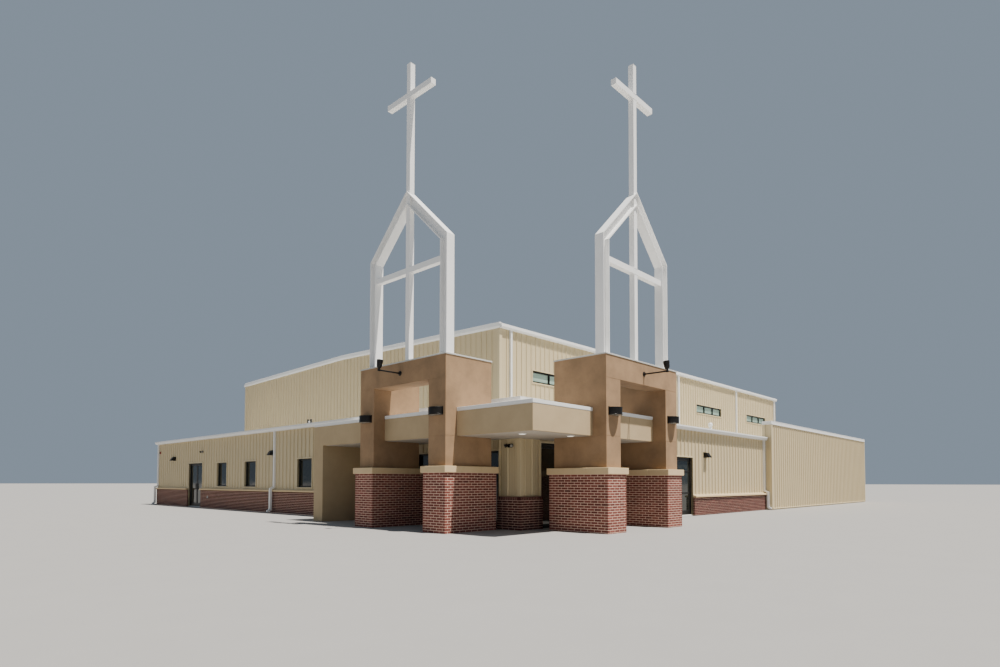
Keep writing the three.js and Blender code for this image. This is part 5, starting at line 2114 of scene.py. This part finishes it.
@dataclass
class Fittings:
    """Wall lamps, twin-head lamps, a horn, an outlet and the roof vents."""

    pack_wide: float = 0.27
    pack_high: float = 0.2
    horn: Point = (27.77, 2.99)
    outlet: Point = (20.73, 0.56)

    def wall_pack(self, piece: Piece, plane: Plane, along: float, level: float) -> None:
        """Adds a wedge-shaped wall lamp that shines down from a sloping lens.

        Args:
            piece: The piece that gets it.
            plane: The wall.
            along: Its middle along the wall.
            level: The height of its middle.
        """
        wide, (foot, top) = self.pack_wide, around(level, self.pack_high)
        hood = ((0.0, top), (0.12, top), (0.25, foot), (0.0, foot))
        back = block(around(along, wide + 0.04), (0.0, 0.02), around(level, 0.23), 0.006, 2)
        lens = block(around(along, wide - 0.06), (0.05, 0.22), (foot - 0.008, foot + 0.004), BEND)
        for form, finish in (
            (prism(hood, Axis.X, around(along, wide), 0.01, 2), BRONZE),
            (back, BRONZE),
            (lens, LENS),
        ):
            piece.add(form, finish, plane.matrix)

    def twin_head(self, piece: Piece, plane: Plane, along: float, level: float) -> None:
        """Adds an emergency lamp with two turned heads.

        Args:
            piece: The piece that gets it.
            plane: The wall.
            along: Its middle along the wall.
            level: The height of its middle.
        """
        piece.add(block(around(along, 0.13), (0.0, 0.06), around(level, 0.1), 0.008, 2), BRONZE, plane.matrix)
        shell = turned(((0.03, -0.04), (0.045, -0.02), (0.05, 0.05), (0.044, 0.05), (0.042, 0.04)), 18)
        glass = turned(((0.041, 0.036), (0.041, 0.043)), 18)
        for side in (-1, 1):
            way, foot = (side * 0.5, 0.7, -0.45), (along + side * 0.1, 0.07, level + 0.01)
            for form, finish in (
                (rod((along + side * 0.04, 0.04, level), foot, 0.012, 10), BRONZE),
                (aimed(shell, foot, way), BRONZE),
                (aimed(glass, foot, way), LENS),
            ):
                piece.add(form, finish, plane.matrix)

    def lamps(self) -> None:
        """Models the wall lamps and the twin-head lamps."""
        lamps = Piece("wall_lamps", "dark_light")
        for add, plane, along, level in (
            (self.wall_pack, LEFT, 14.13, 2.56),
            (self.wall_pack, LEFT, 25.55, 2.59),
            (self.wall_pack, RIGHT, 11.46, 2.43),
            (self.twin_head, LEFT, 21.67, 2.85),
            (self.twin_head, LEFT, 0.35, 2.32),
        ):
            add(lamps, plane, along, level)
        lamps.finish(smooth=True)

    def wall_fittings(self) -> None:
        """Models the horn high on the left wall and the outlet low on its brick."""
        horn = Piece("wall_horn", "white_trim", place=LEFT.matrix)
        x, z = self.horn
        horn.add(block(around(x, 0.13), (0.0, 0.06), around(z, 0.13), 0.01, 2), ALARM_RED)
        mouth = turned(((0.045, 0), (0.045, 0.012), (0.03, 0.008)), 18)
        horn.add(aimed(mouth, (x, 0.055, z), (0, 1, 0)), GASKET)
        horn.finish(smooth=True)
        outlet, face = Piece("brick_outlet", "white_trim", place=LEFT.matrix), BRICK_OUT
        x, z = self.outlet
        for wide, out, up, bevel in (
            (0.08, (face - 0.002, face + 0.03), around(z - 0.003, 0.12), 0.008),
            (0.06, (face + 0.02, face + 0.036), around(z, 0.09), 0.006),
        ):
            outlet.add(block(around(x, wide), out, up, bevel, 2), MEMBRANE)
        outlet.finish(smooth=True)

    def vents(self) -> None:
        """Models the pipes and the hooded vent that stand on the low roofs."""
        vents = Piece("roof_vents", "roof_panel")
        boot = ((0.075, -0.02), (0.075, 0.02), (0.05, 0.07), (0.045, 0.08))
        for y, high, finish in ((13.65, 0.44, GASKET), (13.78, 0.36, WHITE_TRIM), (13.9, 0.44, GASKET)):
            pipe = turned((*boot, (0.045, high), (0.036, high), (0.034, high - 0.06)), 20)
            vents.add(pipe.at(1.5, y, LEFT_LOW.roof(1.5)), finish)
        stack = ((0.15, -0.02), (0.15, 0.03), (0.075, 0.09), (0.075, 0.5))
        hood = ((0.105, 0.52), (0.105, 0.63), (0.07, 0.675), (0.02, 0.69))
        vents.add(turned((*stack, *hood), 24).at(16.44, 2.0, RIGHT_LOW.roof(2.0)), WHITE_TRIM)
        vents.finish(smooth=True)

    def build(self) -> None:
        """Models the small fittings on walls and roofs."""
        self.lamps()
        self.wall_fittings()
        self.vents()


# Studio


@dataclass
class Studio:
    """A pale floor, soft daylight and the camera at the photograph's viewing angle."""

    image: tuple[int, int] = (1000, 667)
    lens: float = 22.24
    horizon: float = 460.4
    eye: tuple[float, float, float] = (-12.707, -11.155, 1.30)
    yaw: float = 46.86
    lift: float = 2.05
    roll: float = 0.07
    sun_height: float = 67.7
    sun_side: float = 12.7
    sun_width: float = 1.0
    sun_energy: float = 9.0
    sun_colour: tuple[float, float, float] = (1.0, 0.95, 0.88)
    sky_colour: tuple[float, float, float, float] = (0.66, 0.81, 1.0, 1.0)
    sky_strength: float = 0.36
    floor_wide: float = 1200.0

    def floor(self) -> None:
        """Lays the plain floor."""
        clear()
        bpy.ops.mesh.primitive_plane_add(size=self.floor_wide)
        ground = bpy.context.object
        ground.name = "studio_floor"
        noises, look = (Noise(900, 5.0), Noise(380, 3.0)), {"speck": 0x8F8D8A, "speckled": 0.2}
        finish = CastMineral("studio_floor_finish", 0x989693, 0.9, noises=noises, **look)
        ground.data.materials.append(finish.material())

    def light(self) -> None:
        """Sets a high warm sun and a pale, even, bluish sky."""
        data = bpy.data.lights.new("studio_sun", "SUN")
        data.energy = self.sun_energy
        data.angle = math.radians(self.sun_width)
        data.color = self.sun_colour
        lamp = bpy.data.objects.new("studio_sun", data)
        bpy.context.scene.collection.objects.link(lamp)
        up, turn = math.radians(self.sun_height), math.radians(self.sun_side)
        toward = Vector((math.sin(turn) * math.cos(up), -math.cos(turn) * math.cos(up), math.sin(up)))
        lamp.rotation_euler = toward.to_track_quat("Z", "Y").to_euler()
        world = bpy.data.worlds.new("studio_sky")
        bpy.context.scene.world = world
        world.use_nodes = True
        sky = world.node_tree.nodes["Background"]
        sky.inputs["Color"].default_value = self.sky_colour
        sky.inputs["Strength"].default_value = self.sky_strength

    def camera(self) -> None:
        """Stands the camera where the photograph was taken."""
        data = bpy.data.cameras.new("photo_camera")
        data.sensor_width = 36.0
        data.lens = self.lens
        data.shift_y = (self.horizon - self.image[1] / 2) / self.image[0]
        data.clip_end = 1000.0
        yaw, lift, roll = (math.radians(angle) for angle in (self.yaw, self.lift, self.roll))
        level = Vector((math.sin(yaw), math.cos(yaw), 0))
        forward = level * math.cos(lift) + Vector((0, 0, math.sin(lift)))
        right = Vector((math.cos(yaw), -math.sin(yaw), 0))
        above = right.cross(forward)
        right = right * math.cos(roll) + above * math.sin(roll)
        above = right.cross(forward)
        camera = bpy.data.objects.new("photo_camera", data)
        bpy.context.scene.collection.objects.link(camera)
        turn = Matrix((right, above, -forward)).transposed().to_4x4()
        camera.matrix_world = Matrix.Translation(Vector(self.eye) + SITE) @ turn
        bpy.context.scene.camera = camera

    def build(self) -> None:
        """Sets up the floor, the light and the camera."""
        self.floor()
        self.light()
        self.camera()


def main() -> None:
    """Builds the studio and each sub-assembly."""
    masonry = Masonry()
    for part in (
        Studio(),
        Cladding(),
        Roofs(),
        Gutters(),
        Canopy(),
        Tower("right", RIGHT_TOWER, ("near", "far"), masonry, 1.51, 1.685),
        Tower("left", LEFT_TOWER, ("far", "near"), masonry, 1.55, 1.725),
        Glazing(),
        Fittings(),
    ):
        log.info("Building %s", type(part).__name__)
        part.build()
    # The wainscots' darker brick tone is painted shade.
    Masonry(tone=0.2, recess=0.007).wainscots()


if __name__ == "__main__":
    main()
